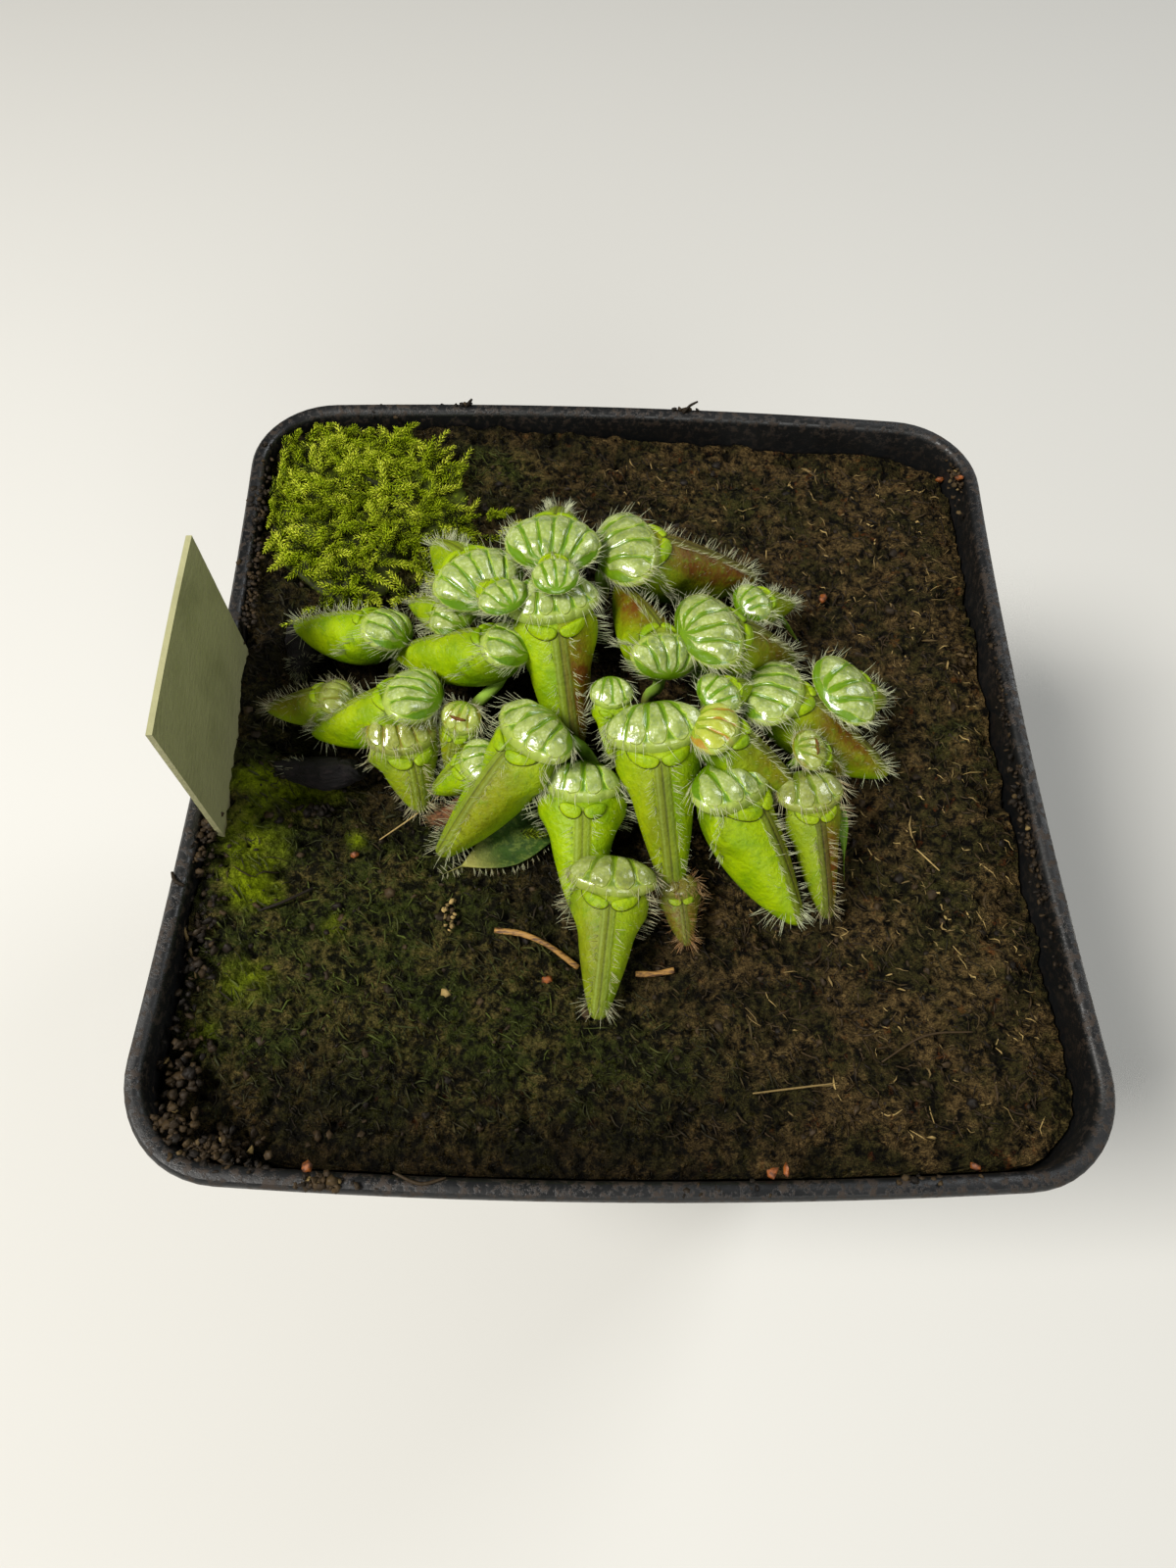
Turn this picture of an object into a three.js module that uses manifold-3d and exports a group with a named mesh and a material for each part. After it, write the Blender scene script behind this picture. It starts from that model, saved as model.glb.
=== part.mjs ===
// A young Albany pitcher plant in a square black plastic nursery pot, in millimetres, +Z up.
// The origin is the centre of the pot's flat underside. The front of the pot faces -Y and its right
// side faces +X. The plant label stands at the left side, and the moss grows in the back left corner.
import * as THREE from 'three';
import { mergeVertices } from 'three/addons/utils/BufferGeometryUtils.js';
import Module from 'manifold-3d';

const wasm = await Module();
wasm.setup();

// Pot: a thin square pot with a turned-over rim. Its sides are pressed a little out of square.
const POT_HEIGHT = 80;
const RIM_WIDTH = 90;
const RIM_CORNER = 9.7;
const BASE_WIDTH = 68;
const BASE_CORNER = 7;
const COLLAR_DROP = 13;
const COLLAR_STEP = 1.5;
const RIM_THICKNESS = 1.7;
const WALL_THICKNESS = 1.1;
const FLOOR_THICKNESS = 1.6;
const SIDES_PRESSED_IN = 1.4;
const FRONT_PRESSED_OUT = 1.7;
const CORNER_STEPS = 3;
const SIDE_STEPS = 3;
const FOOT_ROUND = 0.6;
const FOOT_ROUND_HEIGHT = 0.8;
const BEAD_STEP = 0.3;
const BEAD_ROUND = 0.45;
const BEAD_HEIGHT = 2.2;
const DRAIN_RADIUS = 4;
const DRAIN_OFFSET = 21;
const DRAIN_SIDES = 8;

// Potting soil: peat that fills the pot to a few millimetres below its rim.
const SOIL_LEVEL = 75.4;
const SOIL_MOUND = 1.3;
const SOIL_MOUND_SPREAD = 17;
const SOIL_MOUND_Y = 2;
const SOIL_BACK_RISE = 2.4;
const SOIL_LEFT_RISE = 2.6;
const SOIL_RELIEF = 0.4;
const SOIL_RINGS = [0.12, 0.25, 0.38, 0.51, 0.64, 0.77, 0.89, 1];
const GAP = 0.4;

// Pitchers: closed young jugs. Sizes are those of a jug of girth 1.
const MOUTH_LENGTH = 5.6;
const MOUTH_TILT = 40;
const BELLY_BACK = [-1.9, -8.2];
const BELLY_FRONT = [0.62, -7.4];
const TIP_DEPTH = 1.6;
const DEPTH_POWER = 0.75;
const KEEL_HALF_WIDTH = 0.65;
const KEEL_HEIGHT = 0.5;
const WING_HEIGHT = 0.9;
const WING_END = 0.46;
const LID_HEIGHT = 1.8;
const WING_TURN = 74;
const WING_TURN_ALONG = 55;
const SHOULDER_TURN = 44;
const FLANK_TURN = 138;
const KEEL_ARCH = 0.4;
const LID_FAN = 108;
const LID_RIB_SPREAD = 0.4;
const LID_HINGE_BACK = 0.72;
const LID_OVERHANG = 0.4;
const LID_SKIRT = 0.88;
const LID_SKIRT_DROP = 0.8;
const LID_UNDER_DROP = 1.2;
const WINDOW_PUFF = 0.07;
const VALLEY_SHARE = 0.6;
const PETIOLE_RADIUS = 0.75;
const PETIOLE_DEPTH = 6;
const PETIOLE_BULGE = 1.2;
const PETIOLE_START = [0.1, 1.2, 1.4];
const PETIOLE_ENTRY_RISE = 2;
const PETIOLE_LEAST_FALL = 1.5;
const PETIOLE_STATIONS = [0, 1 / 3, 1 / 2, 2 / 3, 1];
const ROD_SIDES = 5;
const HOLE_DEPTH = 7;
const HOLE_SIDES = 6;
const LEAST_STALK_GIRTH = 0.7;

// Each pitcher by the top of its keel and its tip, its girth, half the width and length of its lid,
// the number of windows in the lid, its turn about its own length in degrees, and the place where
// its petiole enters the ground. The first ones lie over the later ones.
const PITCHERS = {
  centre_front: {
    keel: [-7, 5.5, 89.5], tip: [-5, -4.5, 79.5], girth: 1.12, lid: [4.9, 3.1], windows: 6,
    roll: 0, foot: [-8.5, 12] },
  front_left: {
    keel: [-11.5, -6.8, 87], tip: [-18.5, -14.5, 79], girth: 1, lid: [4.7, 2.9], windows: 6,
    roll: 14, foot: [-3, -4.5] },
  front_middle: {
    keel: [3, -8, 88], tip: [5, -18.5, 79], girth: 1.08, lid: [5, 3], windows: 6,
    roll: 8, foot: [4.5, -1.5] },
  front_low: {
    keel: [-1.5, -20.5, 82.5], tip: [-2.5, -30.5, 78], girth: 0.95, lid: [4.4, 2.6], windows: 5,
    roll: 0, foot: [2, -16] },
  front_right: {
    keel: [12.6, -12, 86.2], tip: [17.5, -21, 79], girth: 1.05, lid: [5.3, 3.1], windows: 6,
    roll: -28, foot: [12.5, -10.5] },
  right_large: {
    keel: [18.5, 0.5, 86], tip: [28, -4.5, 79.5], girth: 0.95, lid: [5.4, 3.4], windows: 6,
    roll: -25, foot: [18.5, 0] },
  right_back_low: {
    keel: [25.5, 3, 84.5], tip: [29, 4.5, 79], girth: 0.75, lid: [4.4, 2.9], windows: 6,
    roll: 0, foot: [24.5, 5] },
  right_upper: {
    keel: [11.6, 7, 89], tip: [19, 8.6, 81], girth: 1.05, lid: [5, 3.2], windows: 6,
    roll: -10, foot: [9.5, 3] },
  back_right: {
    keel: [3.6, 17.8, 89], tip: [15, 18.8, 82], girth: 1.08, lid: [5.8, 3.4], windows: 6,
    roll: -15, foot: [-2, 19] },
  back_middle: {
    keel: [-7.5, 19, 90.5], tip: [-7, 29, 80.5], girth: 1, lid: [5, 3.4], windows: 6,
    roll: 0, foot: [-5, 17.5] },
  back_left: {
    keel: [-17, 15.5, 88.5], tip: [-21.5, 24, 80], girth: 0.98, lid: [5, 3.4], windows: 6,
    roll: 0, foot: [-16, 14.5] },
  left_upper: {
    keel: [-14.5, 6.5, 87.5], tip: [-24.5, 8, 81.5], girth: 0.88, lid: [4, 2.6], windows: 5,
    roll: 32, foot: [-16, 2.5] },
  left_lower: {
    keel: [-24.5, 0.5, 85.5], tip: [-32.5, -1, 79.5], girth: 0.88, lid: [4.6, 2.9], windows: 5,
    roll: 32, foot: [-22, -1.5] },
  left_outer: {
    keel: [-27.3, 10.4, 84.5], tip: [-36, 12.5, 79.5], girth: 0.85, lid: [3.4, 2.6], windows: 5,
    roll: 32, foot: [-25, 7.5] },
  centre_right: {
    keel: [3.4, 5.6, 89.5], tip: [-0.4, 14, 86], girth: 0.85, lid: [3.9, 2.4], windows: 6,
    roll: 20, foot: [3, 4.5] },
  right_middle: {
    keel: [11, -5.8, 89], tip: [17.5, -9, 83.5], girth: 0.78, lid: [3.5, 2.4], windows: 5,
    roll: -20, foot: [11.5, -4.5] },
  right_front_low: {
    keel: [18.6, -12.5, 84.8], tip: [20.3, -20.5, 78.5], girth: 0.72, lid: [3.4, 2.6], windows: 5,
    roll: 0, foot: [15.5, -8] },
  front_under: {
    keel: [-4.2, -11.5, 84], tip: [-4.2, -20.5, 78.3], girth: 1.12, lid: [3.8, 2.4], windows: 4,
    roll: 0, foot: [-5, -8.5] },
  left_round: {
    keel: [-21.2, -6.2, 83.2], tip: [-20.4, -10, 79], girth: 0.95, lid: [3.7, 2.9], windows: 5,
    roll: -15, foot: [-21, -5.5] },
  left_small: {
    keel: [-32, 2.2, 82], tip: [-37.8, 1.9, 79], girth: 0.62, lid: [2.6, 1.9], windows: 4,
    roll: 20, foot: [-28, 4] },
  back_small_left: {
    keel: [-19.5, 11, 86], tip: [-23.5, 15, 80.5], girth: 0.62, lid: [3, 2], windows: 4,
    roll: 0, foot: [-19, 12.5] },
  centre_top: {
    keel: [-7.6, 12, 92.5], tip: [-8, 15.5, 89], girth: 0.48, lid: [2.4, 2.1], windows: 4,
    roll: 0, foot: [-5, 14] },
  centre_left_top: {
    keel: [-13.8, 9.8, 91], tip: [-16, 13, 86.5], girth: 0.5, lid: [2.7, 2], windows: 4,
    roll: 0, foot: [-13, 13] },
  right_tiny: {
    keel: [16, 14.5, 84], tip: [20, 17, 79.5], girth: 0.6, lid: [2.6, 1.9], windows: 4,
    roll: 0, foot: [12.5, 13] },
  left_bud: {
    keel: [-17.2, -4.3, 84], tip: [-17.9, -6.5, 80], girth: 0.55, lid: [2.2, 1.8], windows: 4,
    roll: 0, foot: [-15.5, -2] },
  left_inner: {
    keel: [-16.8, -7.2, 83.6], tip: [-19.6, -8.2, 80], girth: 0.6, lid: [2.7, 2.1], windows: 4,
    roll: 10, foot: [-15, -5.5] },
  centre_small: {
    keel: [-1.4, -3.1, 87.5], tip: [-1.2, -6.2, 84], girth: 0.52, lid: [2.2, 1.9], windows: 4,
    roll: 0, foot: [-1.5, -3.5] },
  right_small: {
    keel: [10.8, 0.3, 88.2], tip: [14.2, 2.8, 84], girth: 0.48, lid: [2.6, 1.9], windows: 4,
    roll: 0, foot: [8.5, 0.5] },
  right_bud: {
    keel: [20.2, -5.8, 85.3], tip: [22.7, -5.8, 81], girth: 0.45, lid: [2.3, 1.8], windows: 4,
    roll: 0, foot: [16.5, -5.5] },
  front_under_small: {
    keel: [5.6, -19.4, 79.8], tip: [6.2, -23.4, 78.2], girth: 0.55, lid: [2.1, 1.6], windows: 4,
    roll: 0, foot: [5, -17] },
};

// Narrow flat leaves, each along a curve from its foot in the soil to its tip.
const LEAVES = {
  leaf_right: {
    points: [[13.5, 10, 72], [14, 10.5, 79], [16.5, 14, 81.5], [20.5, 12.5, 77.8]],
    halfWidth: 1.1, thickness: 0.35, tilt: 0, dead: false },
  leaf_front_right: {
    points: [[18.5, -8, 72], [19, -8.5, 79], [21, -10.5, 82], [22.6, -16.5, 77.2]],
    halfWidth: 0.95, thickness: 0.35, tilt: 20, dead: false },
  leaf_old: {
    points: [[-8, -10, 72], [-8.5, -10.5, 77], [-12.5, -13.5, 77.4], [-18, -16.2, 77.2]],
    halfWidth: 2.7, thickness: 0.35, tilt: 0, dead: true },
};

// Withered pitchers that lie on the soil.
const WITHERED = {
  withered_left: {
    keel: [-36, 11, 79], tip: [-35.2, 5.8, 78], girth: 0.55, lid: [1.8, 1.4], windows: 4, roll: 20 },
  withered_front: {
    keel: [-29.5, -4, 78.8], tip: [-36.5, -4, 77.4], girth: 0.5, lid: [2, 1.5], windows: 4, roll: 60 },
  withered_bud: {
    keel: [-16.4, -9.8, 79.8], tip: [-19.8, -10.8, 78.4], girth: 0.45, lid: [1.9, 1.4], windows: 4, roll: 0,
  },
};

// Bits of straw on the soil: plan position and height above it, in order.
const STRAWS = {
  straw_long: [[-12.6, -21.8, 0.7], [-10, -22.2, 0.9], [-7.5, -23.2, 0.9], [-4.3, -25.2, 0.7]],
  straw_short: [[1.2, -26, 0.7], [3, -25.9, 0.8], [5, -25.5, 0.7]],
};
const STRAW_RADIUS = 0.28;

const CROWN_PLACE = [-3.5, 5.5];
const CROWN_RADIUS = 3.6;
const CROWN_MIDDLE = 74.5;
const CROWN_HALF_HEIGHT = 4;
const CROWN_KNOBS = 0.12;

const MOSS_PLACE = [-31.5, 31];
const MOSS_HALF_WIDTH = 11.5;
const MOSS_HALF_DEPTH = 12.5;
const MOSS_THICKNESS = 1.2;
const MOSS_SHOOT = 1.1;
const MOSS_ROOT = 2;
const MOSS_SHARE_OF_PLAN = 0.97;

// Label: a card pushed into the soil against the left side of the pot.
const LABEL_WIDTH = 22.5;
const LABEL_HEIGHT = 27;
const LABEL_THICKNESS = 0.6;
const LABEL_DEPTH = 6;
const LABEL_LEAN = 2;
const LABEL_SLANT = 3;
const LABEL_TURN = 3;
const LABEL_PLACE = [-40.8, -1.8, 75.5];

const CUT_TOLERANCE = 0.12;

const materialOf = (colour, roughness) =>
  new THREE.MeshStandardMaterial({ color: colour, roughness, metalness: 0 });
const BLACK_PLASTIC = materialOf(0x1e2124, 0.42);
const WET_PEAT = materialOf(0x2d2316, 0.85);
const JUG_GREEN = materialOf(0x96be14, 0.3);
const JUG_PALE = materialOf(0xa9bd52, 0.35);
const LEAF_GREEN = materialOf(0x6f9a1c, 0.4);
const DEAD_BROWN = materialOf(0x241a1c, 0.7);
const MOSS_GREEN = materialOf(0x7f9a12, 0.8);
const WOODY = materialOf(0x4a3320, 0.8);
const STRAW = materialOf(0x9a6a2c, 0.6);
const CARD_WHITE = materialOf(0xd6d8cf, 0.6);

const UP = new THREE.Vector3(0, 0, 1);
const radians = THREE.MathUtils.degToRad;
const smooth = THREE.MathUtils.smoothstep;

// A closed body whose surface is a net of rows and columns. Row 0 and the last row are points.
function netGeometry(columns, rows, place) {
  const geometry = new THREE.SphereGeometry(1, columns, rows);
  const position = geometry.attributes.position;
  const uv = geometry.attributes.uv;
  for (let i = 0; i < position.count; i++) {
    const row = Math.round((1 - uv.getY(i)) * rows);
    const atPole = row === 0 || row === rows;
    const column = atPole ? 0 : Math.round(uv.getX(i) * columns) % columns;
    const point = place(row, column);
    position.setXYZ(i, point.x, point.y, point.z);
  }
  return geometry;
}

function solidOf(geometry) {
  const bare = geometry.clone();
  bare.deleteAttribute('normal');
  bare.deleteAttribute('uv');
  const merged = mergeVertices(bare, 1e-4);
  return new wasm.Manifold(new wasm.Mesh({
    numProp: 3,
    vertProperties: new Float32Array(merged.attributes.position.array),
    triVerts: new Uint32Array(merged.index.array),
  }));
}

function geometryOf(solid) {
  const mesh = solid.getMesh();
  const geometry = new THREE.BufferGeometry();
  geometry.setAttribute('position', new THREE.BufferAttribute(mesh.vertProperties, 3));
  geometry.setIndex(new THREE.BufferAttribute(mesh.triVerts, 1));
  geometry.computeVertexNormals();
  return geometry;
}

// The largest of the pieces that a cut leaves.
function largestOf(solid) {
  const pieces = solid.decompose();
  return pieces.reduce((best, piece) => (piece.volume() > best.volume() ? piece : best));
}

// A cut piece without the slivers and the very small facets along its cuts.
const cleaned = (solid) => largestOf(largestOf(solid).simplify(CUT_TOLERANCE));

// Plan of the pot at a height: a rounded square with slightly bowed sides, as columns of points.
function squarePlan(halfWidth, corner, bow) {
  const points = [];
  const straight = halfWidth - corner;
  for (let side = 0; side < 4; side++) {
    const turn = side * Math.PI / 2;
    for (let i = 0; i < CORNER_STEPS; i++) {
      const angle = Math.PI / 2 * i / CORNER_STEPS;
      const local = [straight + corner * Math.cos(angle), straight + corner * Math.sin(angle)];
      points.push(new THREE.Vector2(...local).rotateAround(new THREE.Vector2(), turn));
    }
    for (let i = 0; i < SIDE_STEPS; i++) {
      const local = [straight * (1 - 2 * i / SIDE_STEPS), halfWidth];
      points.push(new THREE.Vector2(...local).rotateAround(new THREE.Vector2(), turn));
    }
  }
  for (const point of points) {
    const bowX = -SIDES_PRESSED_IN * bow * (1 - (point.y / halfWidth) ** 2);
    const bowY = FRONT_PRESSED_OUT * bow * (1 - (point.x / halfWidth) ** 2);
    point.set(point.x * (1 + bowX / halfWidth), point.y * (1 + bowY / halfWidth));
  }
  return points;
}

// Half width and corner of the pot's outside below the collar, at a height.
function wallAt(z) {
  const rise = z / POT_HEIGHT;
  const top = RIM_WIDTH / 2 - COLLAR_STEP;
  return {
    half: BASE_WIDTH / 2 + (top - BASE_WIDTH / 2) * rise,
    corner: BASE_CORNER + (RIM_CORNER - COLLAR_STEP - BASE_CORNER) * rise,
    bow: rise,
  };
}

// Half width and corner of the pot's inside at a height: it widens at the collar.
function insideAt(z) {
  const wall = wallAt(z);
  const inCollar = z > POT_HEIGHT - COLLAR_DROP;
  return {
    half: inCollar ? RIM_WIDTH / 2 - RIM_THICKNESS : wall.half - WALL_THICKNESS,
    corner: inCollar ? RIM_CORNER - RIM_THICKNESS : wall.corner - WALL_THICKNESS,
    bow: wall.bow,
  };
}

function planInside(z, inset) {
  const inside = insideAt(z);
  return squarePlan(inside.half - inset, inside.corner - inset, inside.bow);
}

const PLAN_COLUMNS = 4 * (CORNER_STEPS + SIDE_STEPS);

function buildPot() {
  const rim = RIM_WIDTH / 2;
  const collarFoot = POT_HEIGHT - COLLAR_DROP;
  const ring = (inset, z) => ({ plan: squarePlan(rim - inset, RIM_CORNER - inset, z / POT_HEIGHT), z });
  const footRing = (inset, z) => ({
    plan: squarePlan(BASE_WIDTH / 2 - inset, BASE_CORNER - inset, z / POT_HEIGHT),
    z,
  });
  const insideRing = (z) => ({ plan: planInside(z, 0), z });
  const below = wallAt(collarFoot - 1);
  const rings = [
    footRing(FOOT_ROUND, 0),
    footRing(0, FOOT_ROUND_HEIGHT),
    { plan: squarePlan(below.half, below.corner, below.bow), z: collarFoot - 1 },
    ring(0.9, collarFoot),
    ring(BEAD_STEP, POT_HEIGHT - BEAD_HEIGHT),
    ring(0, POT_HEIGHT - BEAD_HEIGHT + 0.9),
    ring(0, POT_HEIGHT - 0.6),
    ring(BEAD_ROUND, POT_HEIGHT),
    ring(RIM_THICKNESS - 0.4, POT_HEIGHT - 0.05),
    insideRing(POT_HEIGHT - 0.7),
    insideRing(collarFoot + 0.8),
    insideRing(collarFoot - 1.2),
    insideRing(FLOOR_THICKNESS),
  ];
  const shell = netGeometry(PLAN_COLUMNS, rings.length + 1, (row, column) => {
    if (row === 0) return new THREE.Vector3(0, 0, 0);
    if (row === rings.length + 1) return new THREE.Vector3(0, 0, FLOOR_THICKNESS);
    const { plan, z } = rings[row - 1];
    const point = plan[(PLAN_COLUMNS - column) % PLAN_COLUMNS];
    return new THREE.Vector3(point.x, point.y, z);
  });
  let pot = solidOf(shell);
  for (const [x, y] of [[1, 1], [-1, 1], [-1, -1], [1, -1], [1, 0], [0, 1], [-1, 0], [0, -1]]) {
    const place = [x * DRAIN_OFFSET, y * DRAIN_OFFSET];
    pot = pot.subtract(uprightCylinder(...place, DRAIN_RADIUS, -1, 2 * FLOOR_THICKNESS, DRAIN_SIDES));
  }
  return pot;
}

function uprightCylinder(x, y, radius, low, high, sides) {
  const cylinder = new THREE.CylinderGeometry(radius, radius, high - low, sides);
  cylinder.rotateX(Math.PI / 2);
  cylinder.translate(x, y, (low + high) / 2);
  return solidOf(cylinder);
}

// Height of the soil's surface: a low mound under the plant, a rise to the back left corner and
// against the left side behind the label, and the lumps of the peat.
function soilHeight(x, y) {
  const away = x * x + (y - SOIL_MOUND_Y) ** 2;
  const mound = SOIL_MOUND * Math.exp(-away / (2 * SOIL_MOUND_SPREAD ** 2));
  const back = SOIL_BACK_RISE * smooth(-x * 0.7 + y * 0.72, 14, 52);
  const left = SOIL_LEFT_RISE * smooth(-x, 33, 39.5) * smooth(y, -36, -12);
  const small = Math.sin(0.83 * x + 1.9) * Math.sin(0.71 * y + 0.4);
  const lumps = small + 0.6 * Math.sin(0.37 * x - 0.52 * y);
  return SOIL_LEVEL + mound + Math.max(back, left) + SOIL_RELIEF * lumps;
}

// The soil as a body, with its surface raised by a given amount.
function soilBody(raise) {
  const bottom = FLOOR_THICKNESS + GAP;
  const collarFoot = POT_HEIGHT - COLLAR_DROP;
  const sides = [collarFoot + 1.5, collarFoot - 1, bottom];
  const rows = SOIL_RINGS.length + sides.length + 1;
  const topPlan = planInside(SOIL_LEVEL, GAP);
  return solidOf(netGeometry(PLAN_COLUMNS, rows, (row, column) => {
    if (row === 0) return new THREE.Vector3(0, 0, soilHeight(0, 0) + raise);
    if (row === rows) return new THREE.Vector3(0, 0, bottom);
    if (row > SOIL_RINGS.length) {
      const z = sides[row - SOIL_RINGS.length - 1];
      const point = planInside(z, GAP)[column];
      return new THREE.Vector3(point.x, point.y, z);
    }
    const share = SOIL_RINGS[row - 1];
    const point = topPlan[column].clone().multiplyScalar(share);
    return new THREE.Vector3(point.x, point.y, soilHeight(point.x, point.y) + raise);
  }));
}

const lerpAt = (stops, values, s) => {
  const i = Math.max(1, stops.findIndex((stop) => stop >= s));
  const t = (s - stops[i - 1]) / (stops[i] - stops[i - 1]);
  return values[i - 1] + (values[i] - values[i - 1]) * THREE.MathUtils.clamp(t, 0, 1);
};

// A pitcher's own axes: along its length from mouth to tip, towards its keel, and sideways.
function jugAxes(jug) {
  const keelTop = new THREE.Vector3(...jug.keel);
  const along = new THREE.Vector3(...jug.tip).sub(keelTop);
  const length = along.length();
  along.normalize();
  const front = UP.clone().addScaledVector(along, -UP.dot(along)).normalize();
  front.applyAxisAngle(along, radians(jug.roll));
  const side = new THREE.Vector3().crossVectors(front, along);
  const at = (x, y, z) => keelTop.clone()
    .addScaledVector(side, x).addScaledVector(along, y).addScaledVector(front, z);
  return { length, at };
}

// The belly line from the hinge of the lid to the tip, in the pitcher's own axes.
function bellyLine(jug, length) {
  const tilt = radians(MOUTH_TILT);
  const g = jug.girth;
  const hinge = new THREE.Vector2(-Math.sin(tilt), -Math.cos(tilt)).multiplyScalar(MOUTH_LENGTH * g);
  return new THREE.CubicBezierCurve(
    hinge,
    new THREE.Vector2(BELLY_BACK[0] * g, BELLY_BACK[1] * g),
    new THREE.Vector2(BELLY_FRONT[0] * length, BELLY_FRONT[1] * g),
    new THREE.Vector2(length, -TIP_DEPTH * g));
}

const RING_STOPS = [0, 0.13, 0.3, 0.48, 0.7, 0.9, 1];
const SMALL_RING_STOPS = [0, 0.22, 0.5, 0.78, 1];
const SMALL_GIRTH = 0.65;
const WIDTH_STOPS = [0, 0.12, 0.3, 0.5, 0.75, 0.92, 1];
const WIDTHS = [2.9, 3.05, 3.1, 2.75, 1.95, 1.25, 0.85];

// Half of a pitcher's ring, from the keel's groove round to the belly: sideways and depth shares.
function jugRing(s, halfWidth, g) {
  const groove = Math.min(0.8 * KEEL_HALF_WIDTH * g / halfWidth, 0.6);
  const foot = Math.min(1.3 * KEEL_HALF_WIDTH * g / halfWidth, 0.85);
  const wing = smooth(s, 0, 0.12) * (1 - smooth(s, 0.3, WING_END));
  const wingTurn = radians(WING_TURN + WING_TURN_ALONG * Math.min(s, WING_END));
  const turned = (angle) => {
    const depth = Math.cos(angle);
    return [Math.sin(angle), Math.sign(depth) * Math.abs(depth) ** DEPTH_POWER];
  };
  const shoulder = turned(radians(SHOULDER_TURN));
  const wingPoint = turned(wingTurn);
  const flank = turned(radians(FLANK_TURN));
  return [
    { side: 0, depth: 1, out: 0.45 },
    { side: groove, depth: 1, out: 1 },
    { side: foot, depth: 0.97, out: 0 },
    { side: shoulder[0], depth: shoulder[1], out: 0 },
    { side: wingPoint[0] * (1 + WING_HEIGHT * g * wing / halfWidth), depth: wingPoint[1], out: 0 },
    { side: flank[0], depth: flank[1], out: 0 },
    { side: 0, depth: -1, out: 0 },
  ];
}

function jugBody(jug, grow) {
  const { length, at } = jugAxes(jug);
  const g = jug.girth;
  const belly = bellyLine(jug, length);
  const stops = g < SMALL_GIRTH ? SMALL_RING_STOPS : RING_STOPS;
  const rows = stops.length + 1;
  const columns = 12;
  return solidOf(netGeometry(columns, rows, (row, column) => {
    const s = row === 0 ? 0 : stops[Math.min(row, rows - 1) - 1];
    const low = belly.getPoint(s);
    const high = new THREE.Vector2(length * s, KEEL_ARCH * g * Math.sin(Math.PI * s));
    const middle = high.clone().add(low).multiplyScalar(0.5);
    if (row === 0) return at(0, middle.x - grow, middle.y);
    if (row === rows) return at(0, length + 0.7 * g + grow, middle.y);
    const depth = high.clone().sub(low).multiplyScalar(0.5);
    depth.multiplyScalar(1 + grow / depth.length());
    const halfWidth = lerpAt(WIDTH_STOPS, WIDTHS, s) * g + grow;
    const mirrored = column > columns / 2;
    const point = jugRing(s, halfWidth, g)[mirrored ? columns - column : column];
    const keel = point.out * KEEL_HEIGHT * g * (1 - 0.35 * s);
    const x = (mirrored ? -1 : 1) * point.side * halfWidth;
    return at(x, middle.x + depth.x * point.depth, middle.y + depth.y * point.depth + keel);
  }));
}

// The lid: a low dome over the mouth, puffed up into windows between ribs that run from its back to
// its front margin, evenly spaced along the front.
function jugLid(jug, grow) {
  const { at } = jugAxes(jug);
  const g = jug.girth;
  const tilt = radians(MOUTH_TILT);
  const fanHalf = radians(LID_FAN);
  const fanColumns = 2 * jug.windows;
  const columns = fanColumns + 2;
  const halfWidth = jug.lid[0] + grow;
  const halfLength = jug.lid[1] + grow;
  const height = LID_HEIGHT * g + grow;
  const hingeY = -LID_HINGE_BACK * halfLength;
  const centre = [-MOUTH_LENGTH * g / 2 * Math.sin(tilt), -MOUTH_LENGTH * g / 2 * Math.cos(tilt)];
  const reach = g < SMALL_GIRTH ? [0.6, 1] : [0.45, 0.82, 1];
  const rows = reach.length + 2;
  const lidPoint = (x, y, z) => {
    const forward = y + MOUTH_LENGTH * g / 2 - jug.lid[1] - LID_OVERHANG;
    return at(x,
      centre[0] + forward * Math.sin(tilt) - z * Math.cos(tilt),
      centre[1] + forward * Math.cos(tilt) + z * Math.sin(tilt));
  };
  return solidOf(netGeometry(columns, rows, (row, column) => {
    const onFan = column <= fanColumns;
    const turn = onFan
      ? fanHalf * Math.asin(2 * column / fanColumns - 1) / (Math.PI / 2)
      : fanHalf + (2 * Math.PI - 2 * fanHalf) * (column - fanColumns) / 2;
    const crest = onFan && column % 2 === 1;
    const margin = new THREE.Vector2(halfWidth * Math.sin(turn), halfLength * Math.cos(turn));
    const dome = (x, y) => {
      const outward = (x / halfWidth) ** 2 + (y / halfLength) ** 2;
      return height * Math.sqrt(Math.max(0, 1 - outward));
    };
    if (row === 0) return lidPoint(0, hingeY, dome(0, hingeY));
    if (row === rows) return lidPoint(0, 0, -LID_UNDER_DROP * g - grow);
    if (row > reach.length) {
      return lidPoint(margin.x * LID_SKIRT, margin.y * LID_SKIRT, -LID_SKIRT_DROP * g - grow);
    }
    const t = reach[row - 1];
    const x = margin.x * (LID_RIB_SPREAD + (1 - LID_RIB_SPREAD) * t);
    const y = hingeY + (margin.y - hingeY) * t;
    const puff = 1 + WINDOW_PUFF * (crest ? 1 : -VALLEY_SHARE) * smooth(t, 0.1, 0.5);
    return lidPoint(x * puff, y * puff, dome(x, y) * puff);
  }));
}

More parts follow.
